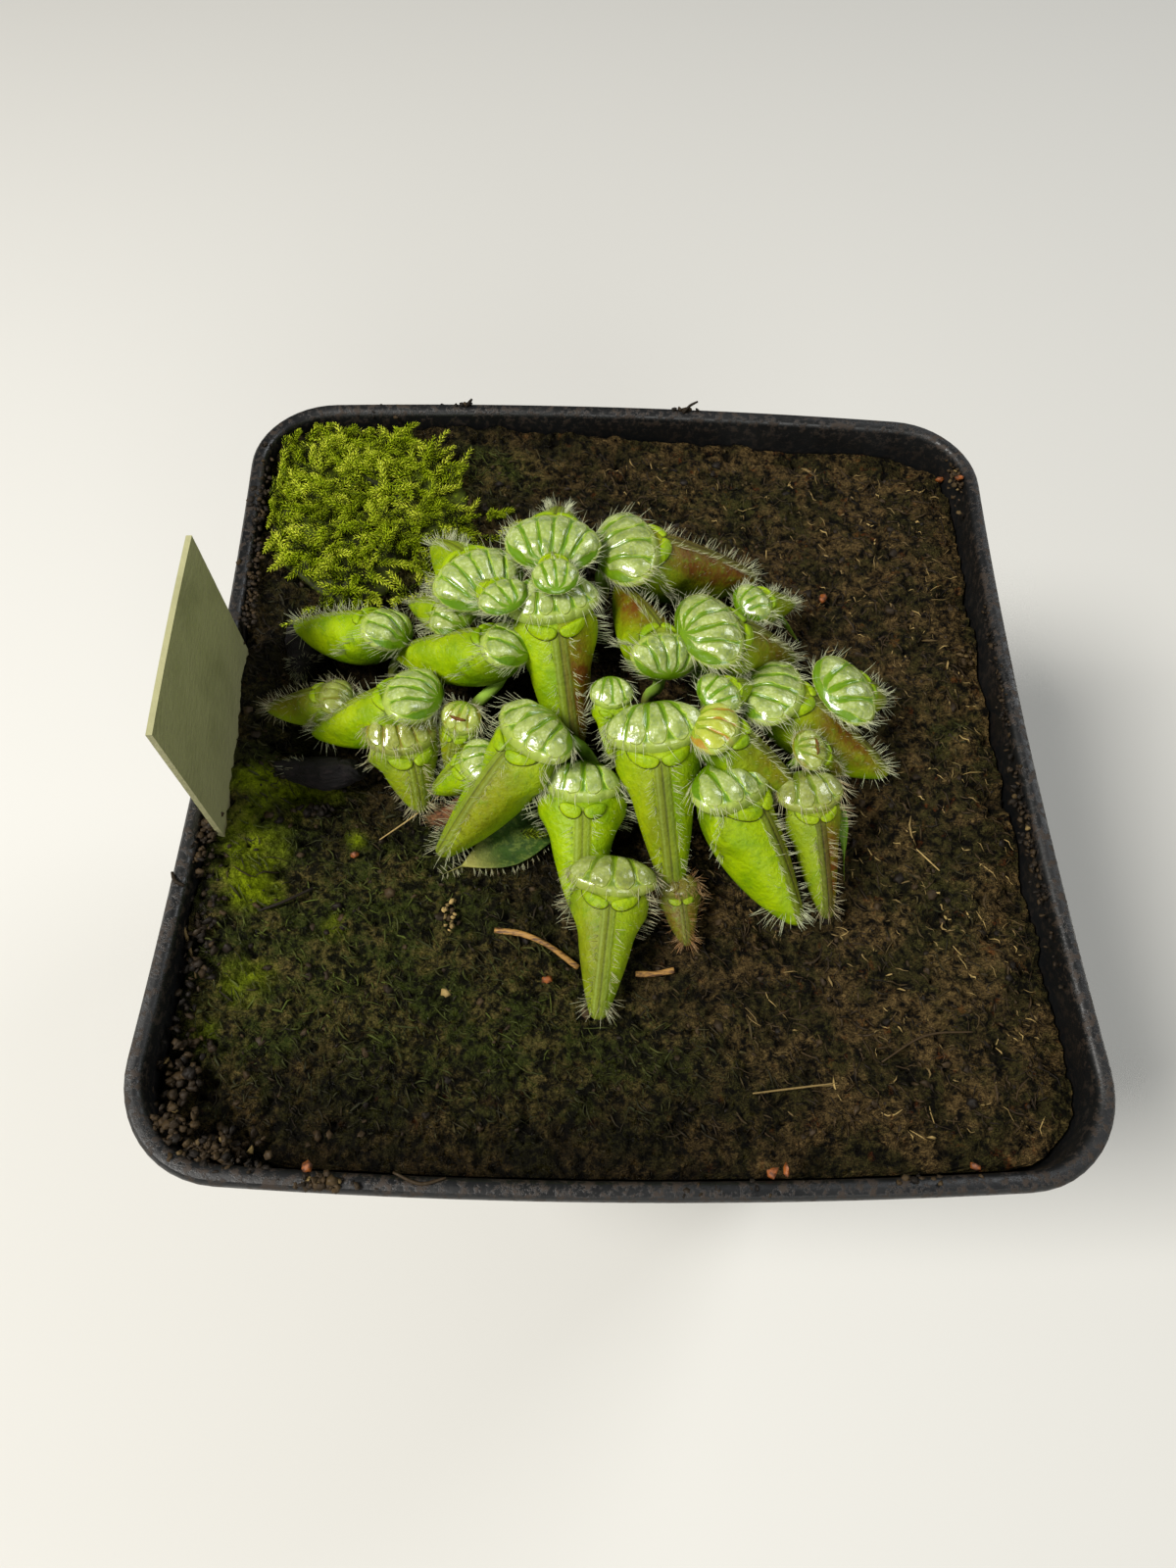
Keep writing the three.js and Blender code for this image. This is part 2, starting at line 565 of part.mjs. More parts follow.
// A five-sided rod through the given points. Growing it widens it and lengthens both its ends.
function rodSolid(points, radius, grow) {
  const last = points.length - 1;
  const rings = [];
  let across = new THREE.Vector3(1, 0.1, 0.2);
  points.forEach((point, i) => {
    const ahead = points[Math.min(i + 1, last)].clone().sub(points[Math.max(i - 1, 0)]).normalize();
    across = across.clone().addScaledVector(ahead, -across.dot(ahead)).normalize();
    const stretch = i === 0 ? -grow : i === last ? grow : 0;
    const centre = point.clone().addScaledVector(ahead, stretch);
    rings.push({ centre, across, above: new THREE.Vector3().crossVectors(ahead, across) });
  });
  return solidOf(netGeometry(ROD_SIDES, rings.length + 1, (row, column) => {
    const ring = rings[Math.min(Math.max(row - 1, 0), last)];
    if (row === 0 || row === rings.length + 1) return ring.centre;
    const turn = -2 * Math.PI * column / ROD_SIDES;
    return ring.centre.clone()
      .addScaledVector(ring.across, (radius + grow) * Math.cos(turn))
      .addScaledVector(ring.above, (radius + grow) * Math.sin(turn));
  }));
}

// The stalk: from the back of the pitcher, below the hinge, down into the ground.
function petiole(jug, grow) {
  const { length, at } = jugAxes(jug);
  const g = jug.girth;
  const [share, onward, inward] = PETIOLE_START;
  const back = bellyLine(jug, length).getPoint(share);
  const [x, y] = jug.foot;
  const ground = soilHeight(x, y);
  const start = at(0, back.x + onward * g, back.y + inward * g);
  const entryZ = Math.min(ground + PETIOLE_ENTRY_RISE, start.z - PETIOLE_LEAST_FALL);
  const entry = new THREE.Vector3(x, y, entryZ);
  const bulge = at(0, -PETIOLE_BULGE * g, 0).sub(at(0, 0, 0));
  const middle = start.clone().lerp(entry, 0.45).add(bulge);
  const low = new THREE.Vector3(x, y, ground - PETIOLE_DEPTH);
  const path = new THREE.CatmullRomCurve3([start, middle, entry, low], false, 'centripetal');
  const stations = PETIOLE_STATIONS.map((t) => path.getPoint(t));
  return rodSolid(stations, PETIOLE_RADIUS * Math.max(g, LEAST_STALK_GIRTH), grow);
}

// The plant's short woody stem, which shows between the stalks.
function crownBody(grow) {
  const columns = 10;
  const rows = 6;
  const [x, y] = CROWN_PLACE;
  return solidOf(netGeometry(columns, rows, (row, column) => {
    const fall = Math.PI * row / rows;
    const turn = 2 * Math.PI * column / columns;
    const knob = 1 + CROWN_KNOBS * Math.sin(3 * turn + 2 * fall);
    const reach = (CROWN_RADIUS * knob + grow) * Math.sin(fall);
    const z = CROWN_MIDDLE + (CROWN_HALF_HEIGHT + grow) * Math.cos(fall);
    return new THREE.Vector3(x + reach * Math.cos(turn), y + reach * Math.sin(turn), z);
  }));
}

// A narrow leaf: a blade along a curve, thickest along its middle, with a stalk at its foot.
function bladeSolid(leaf, grow) {
  const path = new THREE.CatmullRomCurve3(leaf.points.map((point) => new THREE.Vector3(...point)));
  const heading = path.getPoint(1).sub(path.getPoint(0)).setZ(0).normalize();
  const columns = 6;
  const rows = 9;
  return solidOf(netGeometry(columns, rows, (row, column) => {
    const t = row / rows;
    const middle = path.getPoint(t);
    const ahead = path.getTangent(t);
    if (row === 0) return middle.addScaledVector(ahead, -grow);
    if (row === rows) return middle.addScaledVector(ahead, grow);
    const across = new THREE.Vector3().crossVectors(heading, UP);
    across.applyAxisAngle(ahead, radians(leaf.tilt));
    const above = new THREE.Vector3().crossVectors(across, ahead);
    const swell = Math.sin(Math.PI * Math.min(1, 0.12 + t) ** 1.3);
    const spread = Math.max(leaf.thickness, leaf.halfWidth * swell) + grow;
    const turn = 2 * Math.PI * column / columns;
    return middle.addScaledVector(across, spread * Math.cos(turn))
      .addScaledVector(above, (leaf.thickness + grow) * Math.sin(turn));
  }));
}

// Moss: a low mat with its shoots standing up from it in spikes.
function mossBody() {
  const columns = 26;
  const rows = 7;
  const [x, y] = MOSS_PLACE;
  return solidOf(netGeometry(columns, rows, (row, column) => {
    const turn = 2 * Math.PI * column / columns;
    const edge = 1 + 0.12 * Math.sin(3 * turn + 0.6) + 0.08 * Math.sin(5 * turn + 2);
    const share = row <= rows - 2 ? row / (rows - 2) : 0.94;
    const plan = [
      x + MOSS_HALF_WIDTH * edge * share * Math.cos(turn),
      y + MOSS_HALF_DEPTH * edge * share * Math.sin(turn),
    ];
    const ground = soilHeight(...plan);
    if (row >= rows - 1) return new THREE.Vector3(...plan, ground - MOSS_ROOT);
    const shoot = MOSS_SHOOT * (0.5 + 0.5 * Math.sin(5.1 * column + 2.3 * row * row));
    const cushion = MOSS_THICKNESS * (1 - 0.7 * share ** 4);
    return new THREE.Vector3(...plan, ground + cushion + shoot * (row === rows - 2 ? 0.3 : 1));
  }));
}

function labelSolid(grow) {
  const sizes = [LABEL_THICKNESS, LABEL_WIDTH, LABEL_HEIGHT].map((size) => size + 2 * grow);
  const card = new THREE.BoxGeometry(...sizes);
  card.translate(0, 0, LABEL_HEIGHT / 2 - LABEL_DEPTH);
  card.rotateX(-radians(LABEL_SLANT));
  card.rotateY(-radians(LABEL_LEAN));
  card.rotateZ(radians(LABEL_TURN));
  card.translate(...LABEL_PLACE);
  return solidOf(card);
}

const root = new THREE.Group();

function addNode(name, solid, material) {
  const mesh = new THREE.Mesh(geometryOf(solid), material);
  mesh.name = name;
  root.add(mesh);
}

const ground = soilBody(GAP);
const jugs = Object.entries(PITCHERS).map(([name, jug]) => ({
  name,
  jug,
  blades: jugBody(jug, 0).add(jugLid(jug, 0)),
  keepOut: jugBody(jug, GAP).add(jugLid(jug, GAP)),
  stalk: petiole(jug, 0),
  stalkKeepOut: petiole(jug, GAP),
}));
let soil = soilBody(0).subtract(crownBody(GAP)).subtract(labelSolid(GAP));
const plant = [];
for (const [i, entry] of jugs.entries()) {
  let { blades } = entry;
  blades = blades.subtract(ground);
  for (const [j, other] of jugs.entries()) {
    if (j < i) blades = blades.subtract(other.keepOut);
    if (j !== i) blades = blades.subtract(other.stalkKeepOut);
  }
  const whole = cleaned(blades.add(entry.stalk));
  addNode(`pitcher_${entry.name}`, whole, entry.jug.girth > LEAST_STALK_GIRTH ? JUG_GREEN : JUG_PALE);
  const [x, y] = entry.jug.foot;
  const hole = PETIOLE_RADIUS * Math.max(entry.jug.girth, LEAST_STALK_GIRTH) + GAP;
  const low = soilHeight(x, y) - HOLE_DEPTH;
  soil = soil.subtract(uprightCylinder(x, y, hole * 1.1, low, POT_HEIGHT, HOLE_SIDES));
  plant.push(entry.keepOut, entry.stalkKeepOut);
}
const clear = (solid) => plant.reduce((rest, keepOut) => rest.subtract(keepOut), solid);

for (const [name, leaf] of Object.entries(LEAVES)) {
  const keepOut = bladeSolid(leaf, GAP);
  soil = soil.subtract(keepOut);
  addNode(name, largestOf(clear(bladeSolid(leaf, 0))), leaf.dead ? DEAD_BROWN : LEAF_GREEN);
  plant.push(keepOut);
}
for (const [name, jug] of Object.entries(WITHERED)) {
  const body = jugBody(jug, 0).add(jugLid(jug, 0)).subtract(ground);
  addNode(name, cleaned(clear(body)), DEAD_BROWN);
  plant.push(jugBody(jug, GAP).add(jugLid(jug, GAP)));
}
for (const [name, points] of Object.entries(STRAWS)) {
  const path = points.map(([x, y, rise]) => new THREE.Vector3(x, y, soilHeight(x, y) + rise));
  addNode(name, largestOf(clear(rodSolid(path, STRAW_RADIUS, 0)).subtract(ground)), STRAW);
}
const mossRoom = soilBody(MOSS_THICKNESS + 2 * MOSS_SHOOT)
  .scale([MOSS_SHARE_OF_PLAN, MOSS_SHARE_OF_PLAN, 1]);
const moss = mossBody().intersect(mossRoom).subtract(ground);
addNode('moss_carpet', cleaned(clear(moss)), MOSS_GREEN);
addNode('rhizome_crown', largestOf(clear(crownBody(0))), WOODY);
addNode('plant_label', labelSolid(0), CARD_WHITE);
addNode('potting_soil', cleaned(soil), WET_PEAT);
addNode('pot', buildPot(), BLACK_PLASTIC);

export default root;
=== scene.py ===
"""A young Albany pitcher plant in damp peat, in a square black nursery pot with a bare card label.

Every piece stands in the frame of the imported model. Shapes are worked out in millimetres and turned
into metres when a mesh is made.
"""
import logging
import math
from dataclasses import dataclass, field
from enum import Enum, IntEnum
from functools import cache, cached_property
from typing import Any, ClassVar, Iterable, Mapping, NamedTuple, Optional, Sequence, Union

import bpy
import numpy as np
from mathutils import Matrix, Vector


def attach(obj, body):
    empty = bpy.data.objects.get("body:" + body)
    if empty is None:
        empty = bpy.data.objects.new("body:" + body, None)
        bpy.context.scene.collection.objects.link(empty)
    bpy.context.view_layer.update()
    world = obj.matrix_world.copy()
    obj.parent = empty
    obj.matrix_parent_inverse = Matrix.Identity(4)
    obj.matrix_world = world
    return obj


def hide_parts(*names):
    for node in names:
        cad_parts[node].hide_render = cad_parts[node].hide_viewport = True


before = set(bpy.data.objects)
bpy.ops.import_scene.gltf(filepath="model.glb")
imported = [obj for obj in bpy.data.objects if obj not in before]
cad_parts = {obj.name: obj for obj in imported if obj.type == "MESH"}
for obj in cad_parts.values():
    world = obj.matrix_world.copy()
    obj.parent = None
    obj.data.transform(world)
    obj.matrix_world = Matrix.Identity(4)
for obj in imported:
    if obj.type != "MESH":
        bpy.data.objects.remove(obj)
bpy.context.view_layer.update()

MM = 0.001
SEED = 20
UP = np.array([0.0, 0.0, 1.0])
Array = np.ndarray
Colour = tuple[float, float, float]
log = logging.getLogger("pitcher_plant")


def srgb(red: int, green: int, blue: int) -> Colour:
    """Turns a colour as seen on a screen into the linear values a shader takes.

    Args:
        red: The red channel, 0 to 255.
        green: The green channel.
        blue: The blue channel.

    Returns:
        The three linear values.
    """
    def linear(value: int) -> float:
        """One channel, 0 to 255, as a linear value."""
        share = value / 255
        return share / 12.92 if share <= 0.04045 else ((share + 0.055) / 1.055) ** 2.4
    return linear(red), linear(green), linear(blue)


def smoothstep(value: Array, low: float, high: float) -> Array:
    """Rises smoothly from 0 at low to 1 at high."""
    share = np.clip((np.asarray(value, float) - low) / (high - low), 0, 1)
    return share * share * (3 - 2 * share)


def unit(vectors: Array) -> Array:
    """The vectors of an array, each of length 1."""
    return vectors / np.maximum(np.linalg.norm(vectors, axis=-1, keepdims=True), 1e-9)


def bell(value: Array, width: float) -> Array:
    """A smooth bump of height 1 around 0, with about that half width."""
    return np.exp(-(np.asarray(value, float) / width) ** 2)


def around(count: int) -> Array:
    """Angles evenly spaced round a full turn, from 0."""
    return math.tau * np.arange(count) / count


def directions(path: Array, guide: Array) -> tuple[Array, Array, Array]:
    """Directions that go with a path.

    Args:
        path: its points.
        guide: a direction that the path never takes.

    Returns:
        The directions ahead, across and above at each point.
    """
    ahead = unit(np.gradient(path, axis=0))
    across = unit(np.cross(ahead, guide))
    return ahead, across, np.cross(across, ahead)


def swept(path: Array, across: Array, above: Array, wide: Array, high: Array) -> Array:
    """Rings of points round a path.

    Args:
        path: its points.
        across: direction across it at each point.
        above: direction above it at each point.
        wide: how far across each point of a ring lies, for all rings or ring by ring.
        high: how far above, likewise.

    Returns:
        The points, by ring and place on the ring.
    """
    return path[:, None] + across[:, None] * wide[..., None] + above[:, None] * high[..., None]


def border(grid: Array) -> Array:
    """The points round the edge of a grid of points, each once."""
    return np.concatenate([grid[0, :-1], grid[:-1, -1], grid[-1, :0:-1], grid[:0:-1, 0]])


# Sizes that the pieces share


@dataclass(frozen=True)
class PotPlan:
    """The pot's plan and profile, in millimetres."""

    height: float = 80.0
    rim_width: float = 90.0
    rim_corner: float = 9.7
    base_width: float = 68.0
    base_corner: float = 7.0
    collar_drop: float = 13.0
    collar_step: float = 1.5
    rim_thickness: float = 1.7
    wall: float = 1.1
    floor: float = 1.6
    pressed_in: float = 1.4
    pressed_out: float = 1.7

    def outside(self, z: float) -> tuple[float, float]:
        """The outside below the collar.

        Args:
            z: height.

        Returns:
            Half width and corner radius.
        """
        rise = z / self.height
        top = self.rim_width / 2 - self.collar_step
        half = self.base_width / 2 + (top - self.base_width / 2) * rise
        corner = self.base_corner + (self.rim_corner - self.collar_step - self.base_corner) * rise
        return half, corner

    def inside(self, z: float) -> tuple[float, float]:
        """The inside, which steps out within the collar.

        Args:
            z: height.

        Returns:
            Half width and corner radius.
        """
        if z > self.height - self.collar_drop:
            return self.rim_width / 2 - self.rim_thickness, self.rim_corner - self.rim_thickness
        half, corner = self.outside(z)
        return half - self.wall, corner - self.wall

    def bowed(self, x: Array, y: Array, half: float, bow: float) -> tuple[Array, Array]:
        """Presses the two sides in and the front and back out, as the pot's are.

        Args:
            x: plan position across the pot.
            y: plan position from front to back.
            half: half width of the plan.
            bow: share of the full bow, 1 at the rim and 0 at the foot.

        Returns:
            The two plan positions after the bow.
        """
        in_x = -self.pressed_in * bow * (1 - (y / half) ** 2)
        out_y = self.pressed_out * bow * (1 - (x / half) ** 2)
        return x * (1 + in_x / half), y * (1 + out_y / half)

    def ring(self, half: float, corner: float, z: float, corner_steps: int, side_steps: int) -> Array:
        """Points round the plan at a height, anticlockwise from the right side.

        Args:
            half: half width.
            corner: corner radius.
            z: height, which also gives the bow.
            corner_steps: steps round one corner.
            side_steps: steps along one side.

        Returns:
            An array of points.
        """
        straight = half - corner
        points = []
        for turn in around(4):
            for i in range(corner_steps):
                angle = math.pi / 2 * i / corner_steps
                points.append((straight + corner * math.cos(angle), straight + corner * math.sin(angle), turn))
            for i in range(side_steps):
                points.append((straight * (1 - 2 * i / side_steps), half, turn))
        local = np.array(points)
        cosine, sine = np.cos(local[:, 2]), np.sin(local[:, 2])
        x = local[:, 0] * cosine - local[:, 1] * sine
        y = local[:, 0] * sine + local[:, 1] * cosine
        x, y = self.bowed(x, y, half, z / self.height)
        return np.stack([x, y, np.full_like(x, z)], axis=1)


@dataclass(frozen=True)
class SoilShape:
    """The soil's surface: a low mound, a rise at the back left and left, and the peat's lumps."""

    level: float = 75.4
    mound: float = 1.3
    mound_y: float = 2.0
    spread: float = 17.0
    back_rise: float = 2.4
    back_way: tuple[float, float] = (-0.7, 0.72)
    back_slope: tuple[float, float] = (14, 52)
    left_rise: float = 2.6
    left_slope: tuple[float, float] = (33, 39.5)
    left_start: tuple[float, float] = (-36, -12)
    relief: float = 0.4
    gap: float = 0.4

    def height(self, x: Array, y: Array) -> Array:
        """Height of the surface without its crumbs.

        Args:
            x: plan position across the pot.
            y: plan position from front to back.

        Returns:
            The heights.
        """
        x, y = np.asarray(x, float), np.asarray(y, float)
        mound = self.mound * np.exp(-(x * x + (y - self.mound_y) ** 2) / (2 * self.spread ** 2))
        back = self.back_rise * smoothstep(x * self.back_way[0] + y * self.back_way[1], *self.back_slope)
        left = self.left_rise * smoothstep(-x, *self.left_slope) * smoothstep(y, *self.left_start)
        small = np.sin(0.83 * x + 1.9) * np.sin(0.71 * y + 0.4)
        large = 0.6 * np.sin(0.37 * x - 0.52 * y)
        return self.level + mound + np.maximum(back, left) + self.relief * (small + large)


POT = PotPlan()
SOIL = SoilShape()


class Grain:
    """Seeded patterns of lumps and crumbs for the meshes."""

    size: int = 64
    shift: float = 17.3
    fading: float = 0.55

    def __init__(self, seed: int) -> None:
        """Fills the tables that the patterns read.

        Args:
            seed: number that fixes the pattern.
        """
        draws = np.random.default_rng(seed)
        self.values = draws.random((self.size, self.size))
        self.jitter = draws.random((self.size, self.size, 2))

    def lumps(self, x: Array, y: Array, pitch: float) -> Array:
        """Smooth lumps.

        Args:
            x: place across.
            y: place along.
            pitch: about the distance from lump to lump.

        Returns:
            Their heights, from 0 to 1.
        """
        u, v = np.asarray(x, float) / pitch, np.asarray(y, float) / pitch
        iu, iv = np.floor(u).astype(int), np.floor(v).astype(int)
        fu, fv = u - iu, v - iv
        fu, fv = fu * fu * (3 - 2 * fu), fv * fv * (3 - 2 * fv)

        def at(i: Array, j: Array) -> Array:
            """The table's value at whole positions."""
            return self.values[i % self.size, j % self.size]

        low = at(iu, iv) * (1 - fu) + at(iu + 1, iv) * fu
        high = at(iu, iv + 1) * (1 - fu) + at(iu + 1, iv + 1) * fu
        return low * (1 - fv) + high * fv

    def rough(self, x: Array, y: Array, pitch: float, octaves: int) -> Array:
        """Lumps with finer lumps on them.

        Args:
            x: place across.
            y: place along.
            pitch: about the distance between the largest.
            octaves: number of sizes, each half the one before.

        Returns:
            Their heights, from 0 to 1.
        """
        total, weight, sum_of_weights = 0.0, 1.0, 0.0
        for octave in range(octaves):
            shift = self.shift * octave
            total = total + weight * self.lumps(x + shift, y - shift, pitch / 2 ** octave)
            sum_of_weights += weight
            weight *= self.fading
        return total / sum_of_weights

    def cells(self, x: Array, y: Array, pitch: float) -> Array:
        """Crumbs, each round a scattered point.

        Args:
            x: place across.
            y: place along.
            pitch: about the distance from crumb to crumb.

        Returns:
            The distance to the nearest of the points, in pitches.
        """
        u, v = np.asarray(x, float) / pitch, np.asarray(y, float) / pitch
        iu, iv = np.floor(u).astype(int), np.floor(v).astype(int)
        nearest = np.full(np.shape(u), np.inf)
        for du in (-1, 0, 1):
            for dv in (-1, 0, 1):
                spot = self.jitter[(iu + du) % self.size, (iv + dv) % self.size]
                away = np.hypot(iu + du + spot[..., 0] - u, iv + dv + spot[..., 1] - v)
                nearest = np.minimum(nearest, away)
        return nearest


# Meshes


@dataclass
class Body:
    """Collects the points, faces and values of one piece, in millimetres."""

    points: list[Array] = field(default_factory=list)
    triangles: list[Array] = field(default_factory=list)
    finishes: list[Array] = field(default_factory=list)
    values: dict[str, list[tuple[int, Array]]] = field(default_factory=dict)
    count: int = 0

    def add(self, points: Array, triangles: Array, finish: int = 0, **values: Union[Array, float]) -> None:
        """Adds one closed surface.

        Args:
            points: positions, one row each.
            triangles: rows of three point numbers, faces outwards.
            finish: number of its material on the piece.
            values: named numbers that the material reads, one for all points or one for each.
        """
        points = np.asarray(points, float).reshape(-1, 3)
        triangles = np.asarray(triangles, int).reshape(-1, 3)
        self.points.append(points)
        self.triangles.append(triangles + self.count)
        self.finishes.append(np.full(len(triangles), finish))
        for name, numbers in values.items():
            numbers = np.broadcast_to(np.asarray(numbers, float).ravel(), (len(points),))
            self.values.setdefault(name, []).append((self.count, numbers))
        self.count += len(points)

    def grid(self, points: Array, finish: int = 0, joined: bool = True, ends: bool = True,
             flip: bool = False, **values: Union[Array, float]) -> None:
        """Adds a surface given as rows and columns of points.

        Args:
            points: array of rows by columns by 3.
            finish: number of its material on the piece.
            joined: True where the last column meets the first.
            ends: True to close a joined grid's first and last row with a fan to their middles.
            flip: True to turn the faces over, by taking the columns backwards.
            values: named numbers, for all the surface, by row or by row and column.
        """
        rows, columns = points.shape[:2]
        way = -1 if flip else 1
        points = points[:, ::way]
        strips = columns if joined else columns - 1
        row, column = np.meshgrid(np.arange(rows - 1), np.arange(strips), indexing="ij")
        a = row * columns + column
        b = row * columns + (column + 1) % columns
        c, d = a + columns, b + columns
        faces = np.concatenate([np.stack(corners, -1).reshape(-1, 3) for corners in ((a, b, d), (a, d, c))])
        flat = points.reshape(-1, 3)
        flats = {name: np.broadcast_to(numbers, (rows, columns))[:, ::way].ravel()
                 for name, numbers in values.items()}
        if ends and joined:
            total = rows * columns
            ring = np.arange(columns)
            after = (ring + 1) % columns
            first = np.stack([after, ring, np.full(columns, total)], -1)
            base = (rows - 1) * columns
            last = np.stack([base + ring, base + after, np.full(columns, total + 1)], -1)
            faces = np.concatenate([faces, first, last])
            flat = np.concatenate([flat, [points[0].mean(axis=0)], [points[-1].mean(axis=0)]])
            flats = {name: np.concatenate([numbers, [numbers[:columns].mean()], [numbers[-columns:].mean()]])
                     for name, numbers in flats.items()}
        self.add(flat, faces, finish, **flats)

    def rods(self, paths: Array, radii: Array, sides: int, finish: int = 0,
             **values: Union[Array, float]) -> None:
        """Adds many thin rods at once.

        Args:
            paths: array of rods by stations by 3.
            radii: array of rods by stations, or one row for all rods.
            sides: sides of a rod.
            finish: number of its material on the piece.
            values: named numbers, one for all rods or one for each.
        """
        rods, stations = paths.shape[:2]
        ahead = unit(np.gradient(paths, axis=1))
        steep = np.abs(ahead[:, :1, 2:3]) > 0.9
        guide = np.where(steep, [1.0, 0.0, 0.0], UP)
        across = unit(np.cross(ahead, guide))
        above = np.cross(across, ahead)
        turn = around(sides)[:, None]
        ring = across[:, :, None] * np.cos(turn) + above[:, :, None] * np.sin(turn)
        skin = paths[:, :, None] + ring * radii[..., None, None]
        number = np.arange(rods * stations * sides).reshape(rods, stations, sides)
        a, c = number[:, :-1], number[:, 1:]
        b, d = np.roll(a, -1, axis=2), np.roll(c, -1, axis=2)
        faces = [np.stack(corners, -1).reshape(-1, 3) for corners in ((a, d, b), (a, c, d))]
        low, high = number[:, 0], number[:, -1]
        for i in range(1, sides - 1):
            faces.append(np.stack([low[:, 0], low[:, i], low[:, i + 1]], -1))
            faces.append(np.stack([high[:, 0], high[:, i + 1], high[:, i]], -1))
        spread = {name: np.repeat(np.broadcast_to(numbers, rods), stations * sides)
                  for name, numbers in values.items()}
        self.add(skin.reshape(-1, 3), np.concatenate(faces), finish, **spread)

    def build(self, name: str, materials: Sequence[bpy.types.Material]) -> bpy.types.Object:
        """Makes the Blender object.

        Args:
            name: the piece's name.
            materials: its materials, in the order of the finish numbers.

        Returns:
            The new object.
        """
        points = np.concatenate(self.points) * MM
        triangles = np.concatenate(self.triangles)
        mesh = bpy.data.meshes.new(name)
        mesh.vertices.add(len(points))
        mesh.vertices.foreach_set("co", points.ravel())
        mesh.loops.add(triangles.size)
        mesh.loops.foreach_set("vertex_index", triangles.ravel().astype(np.int32))
        mesh.polygons.add(len(triangles))
        mesh.polygons.foreach_set("loop_start", np.arange(0, triangles.size, 3, dtype=np.int32))
        mesh.polygons.foreach_set("material_index", np.concatenate(self.finishes).astype(np.int32))
        mesh.polygons.foreach_set("use_smooth", np.ones(len(triangles), dtype=bool))
        for key, parts in self.values.items():
            numbers = np.zeros(len(points), dtype=np.float32)
            for start, part in parts:
                numbers[start:start + len(part)] = part
            mesh.attributes.new(key, "FLOAT", "POINT").data.foreach_set("value", numbers)
        mesh.update(calc_edges=True)
        mesh.validate()
        for material in materials:
            mesh.materials.append(material)
        piece = bpy.data.objects.new(name, mesh)
        bpy.context.scene.collection.objects.link(piece)
        return piece


class Slot(Enum):
    """The record's material slots."""

    PLASTIC = "black_plastic"
    PEAT = "wet_peat"
    CARD = "label_card"
    PITCHER = "green_pitcher"
    YOUNG_PITCHER = "young_pitcher"
    LEAF = "green_leaf"
    WITHERED = "withered_leaf"
    STRAW = "straw"
    MOSS = "moss"
    STEM = "woody_stem"


def place(piece: bpy.types.Object, slot: Slot, *nodes: str) -> None:
    """Fixes a finished piece to the model, and reports it.

    Args:
        piece: the object.
        slot: the material slot that the piece belongs to; not used.
        nodes: the CAD nodes that it stands for.
    """
    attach(piece, "root")
    if nodes:
        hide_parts(*nodes)
    log.info("%s: %d triangles", piece.name, len(piece.data.polygons))


# Shader sums


class Operation(Enum):
    """What a Math node works out."""

    ADD = "ADD"
    SUBTRACT = "SUBTRACT"
    MULTIPLY = "MULTIPLY"
    DIVIDE = "DIVIDE"
    POWER = "POWER"
    LARGER = "MAXIMUM"
    SIZE = "ABSOLUTE"


@dataclass(frozen=True)
class Signal:
    """A number in a node tree, which takes part in sums as a plain number does."""

    graph: "Graph"
    output: bpy.types.NodeSocket

    def __add__(self, other: "Value") -> "Signal":
        """Sum."""
        return self.graph.math(Operation.ADD, self, other)

    __radd__ = __add__

    def __mul__(self, other: "Value") -> "Signal":
        """Product."""
        return self.graph.math(Operation.MULTIPLY, self, other)

    __rmul__ = __mul__

    def __sub__(self, other: "Value") -> "Signal":
        """Difference."""
        return self.graph.math(Operation.SUBTRACT, self, other)

    def __rsub__(self, other: "Value") -> "Signal":
        """Difference from a plain number."""
        return self.graph.math(Operation.SUBTRACT, other, self)

    def __truediv__(self, other: "Value") -> "Signal":
        """Quotient."""
        return self.graph.math(Operation.DIVIDE, self, other)

    def __pow__(self, other: "Value") -> "Signal":
        """Power."""
        return self.graph.math(Operation.POWER, self, other)

    def __abs__(self) -> "Signal":
        """Size without its sign."""
        return self.graph.math(Operation.SIZE, self, 0.0)

    def or_larger(self, other: "Value") -> "Signal":
        """The larger of two."""
        return self.graph.math(Operation.LARGER, self, other)

    def step(self, low: float, high: float) -> "Signal":
        """Rises smoothly from 0 at low to 1 at high."""
        ranged = self.graph.node("ShaderNodeMapRange", {"interpolation_type": "SMOOTHSTEP"},
                                 {"Value": self, "From Min": low, "From Max": high})
        return Signal(self.graph, ranged.outputs["Result"])

    def clamped(self) -> "Signal":
        """Held between 0 and 1."""
        return Signal(self.graph, self.graph.node("ShaderNodeClamp", {}, {"Value": self}).outputs["Result"])


Value = Union[Signal, float]
Tint = Union[bpy.types.NodeSocket, Colour]
EVEN: Colour = (1.0, 1.0, 1.0)


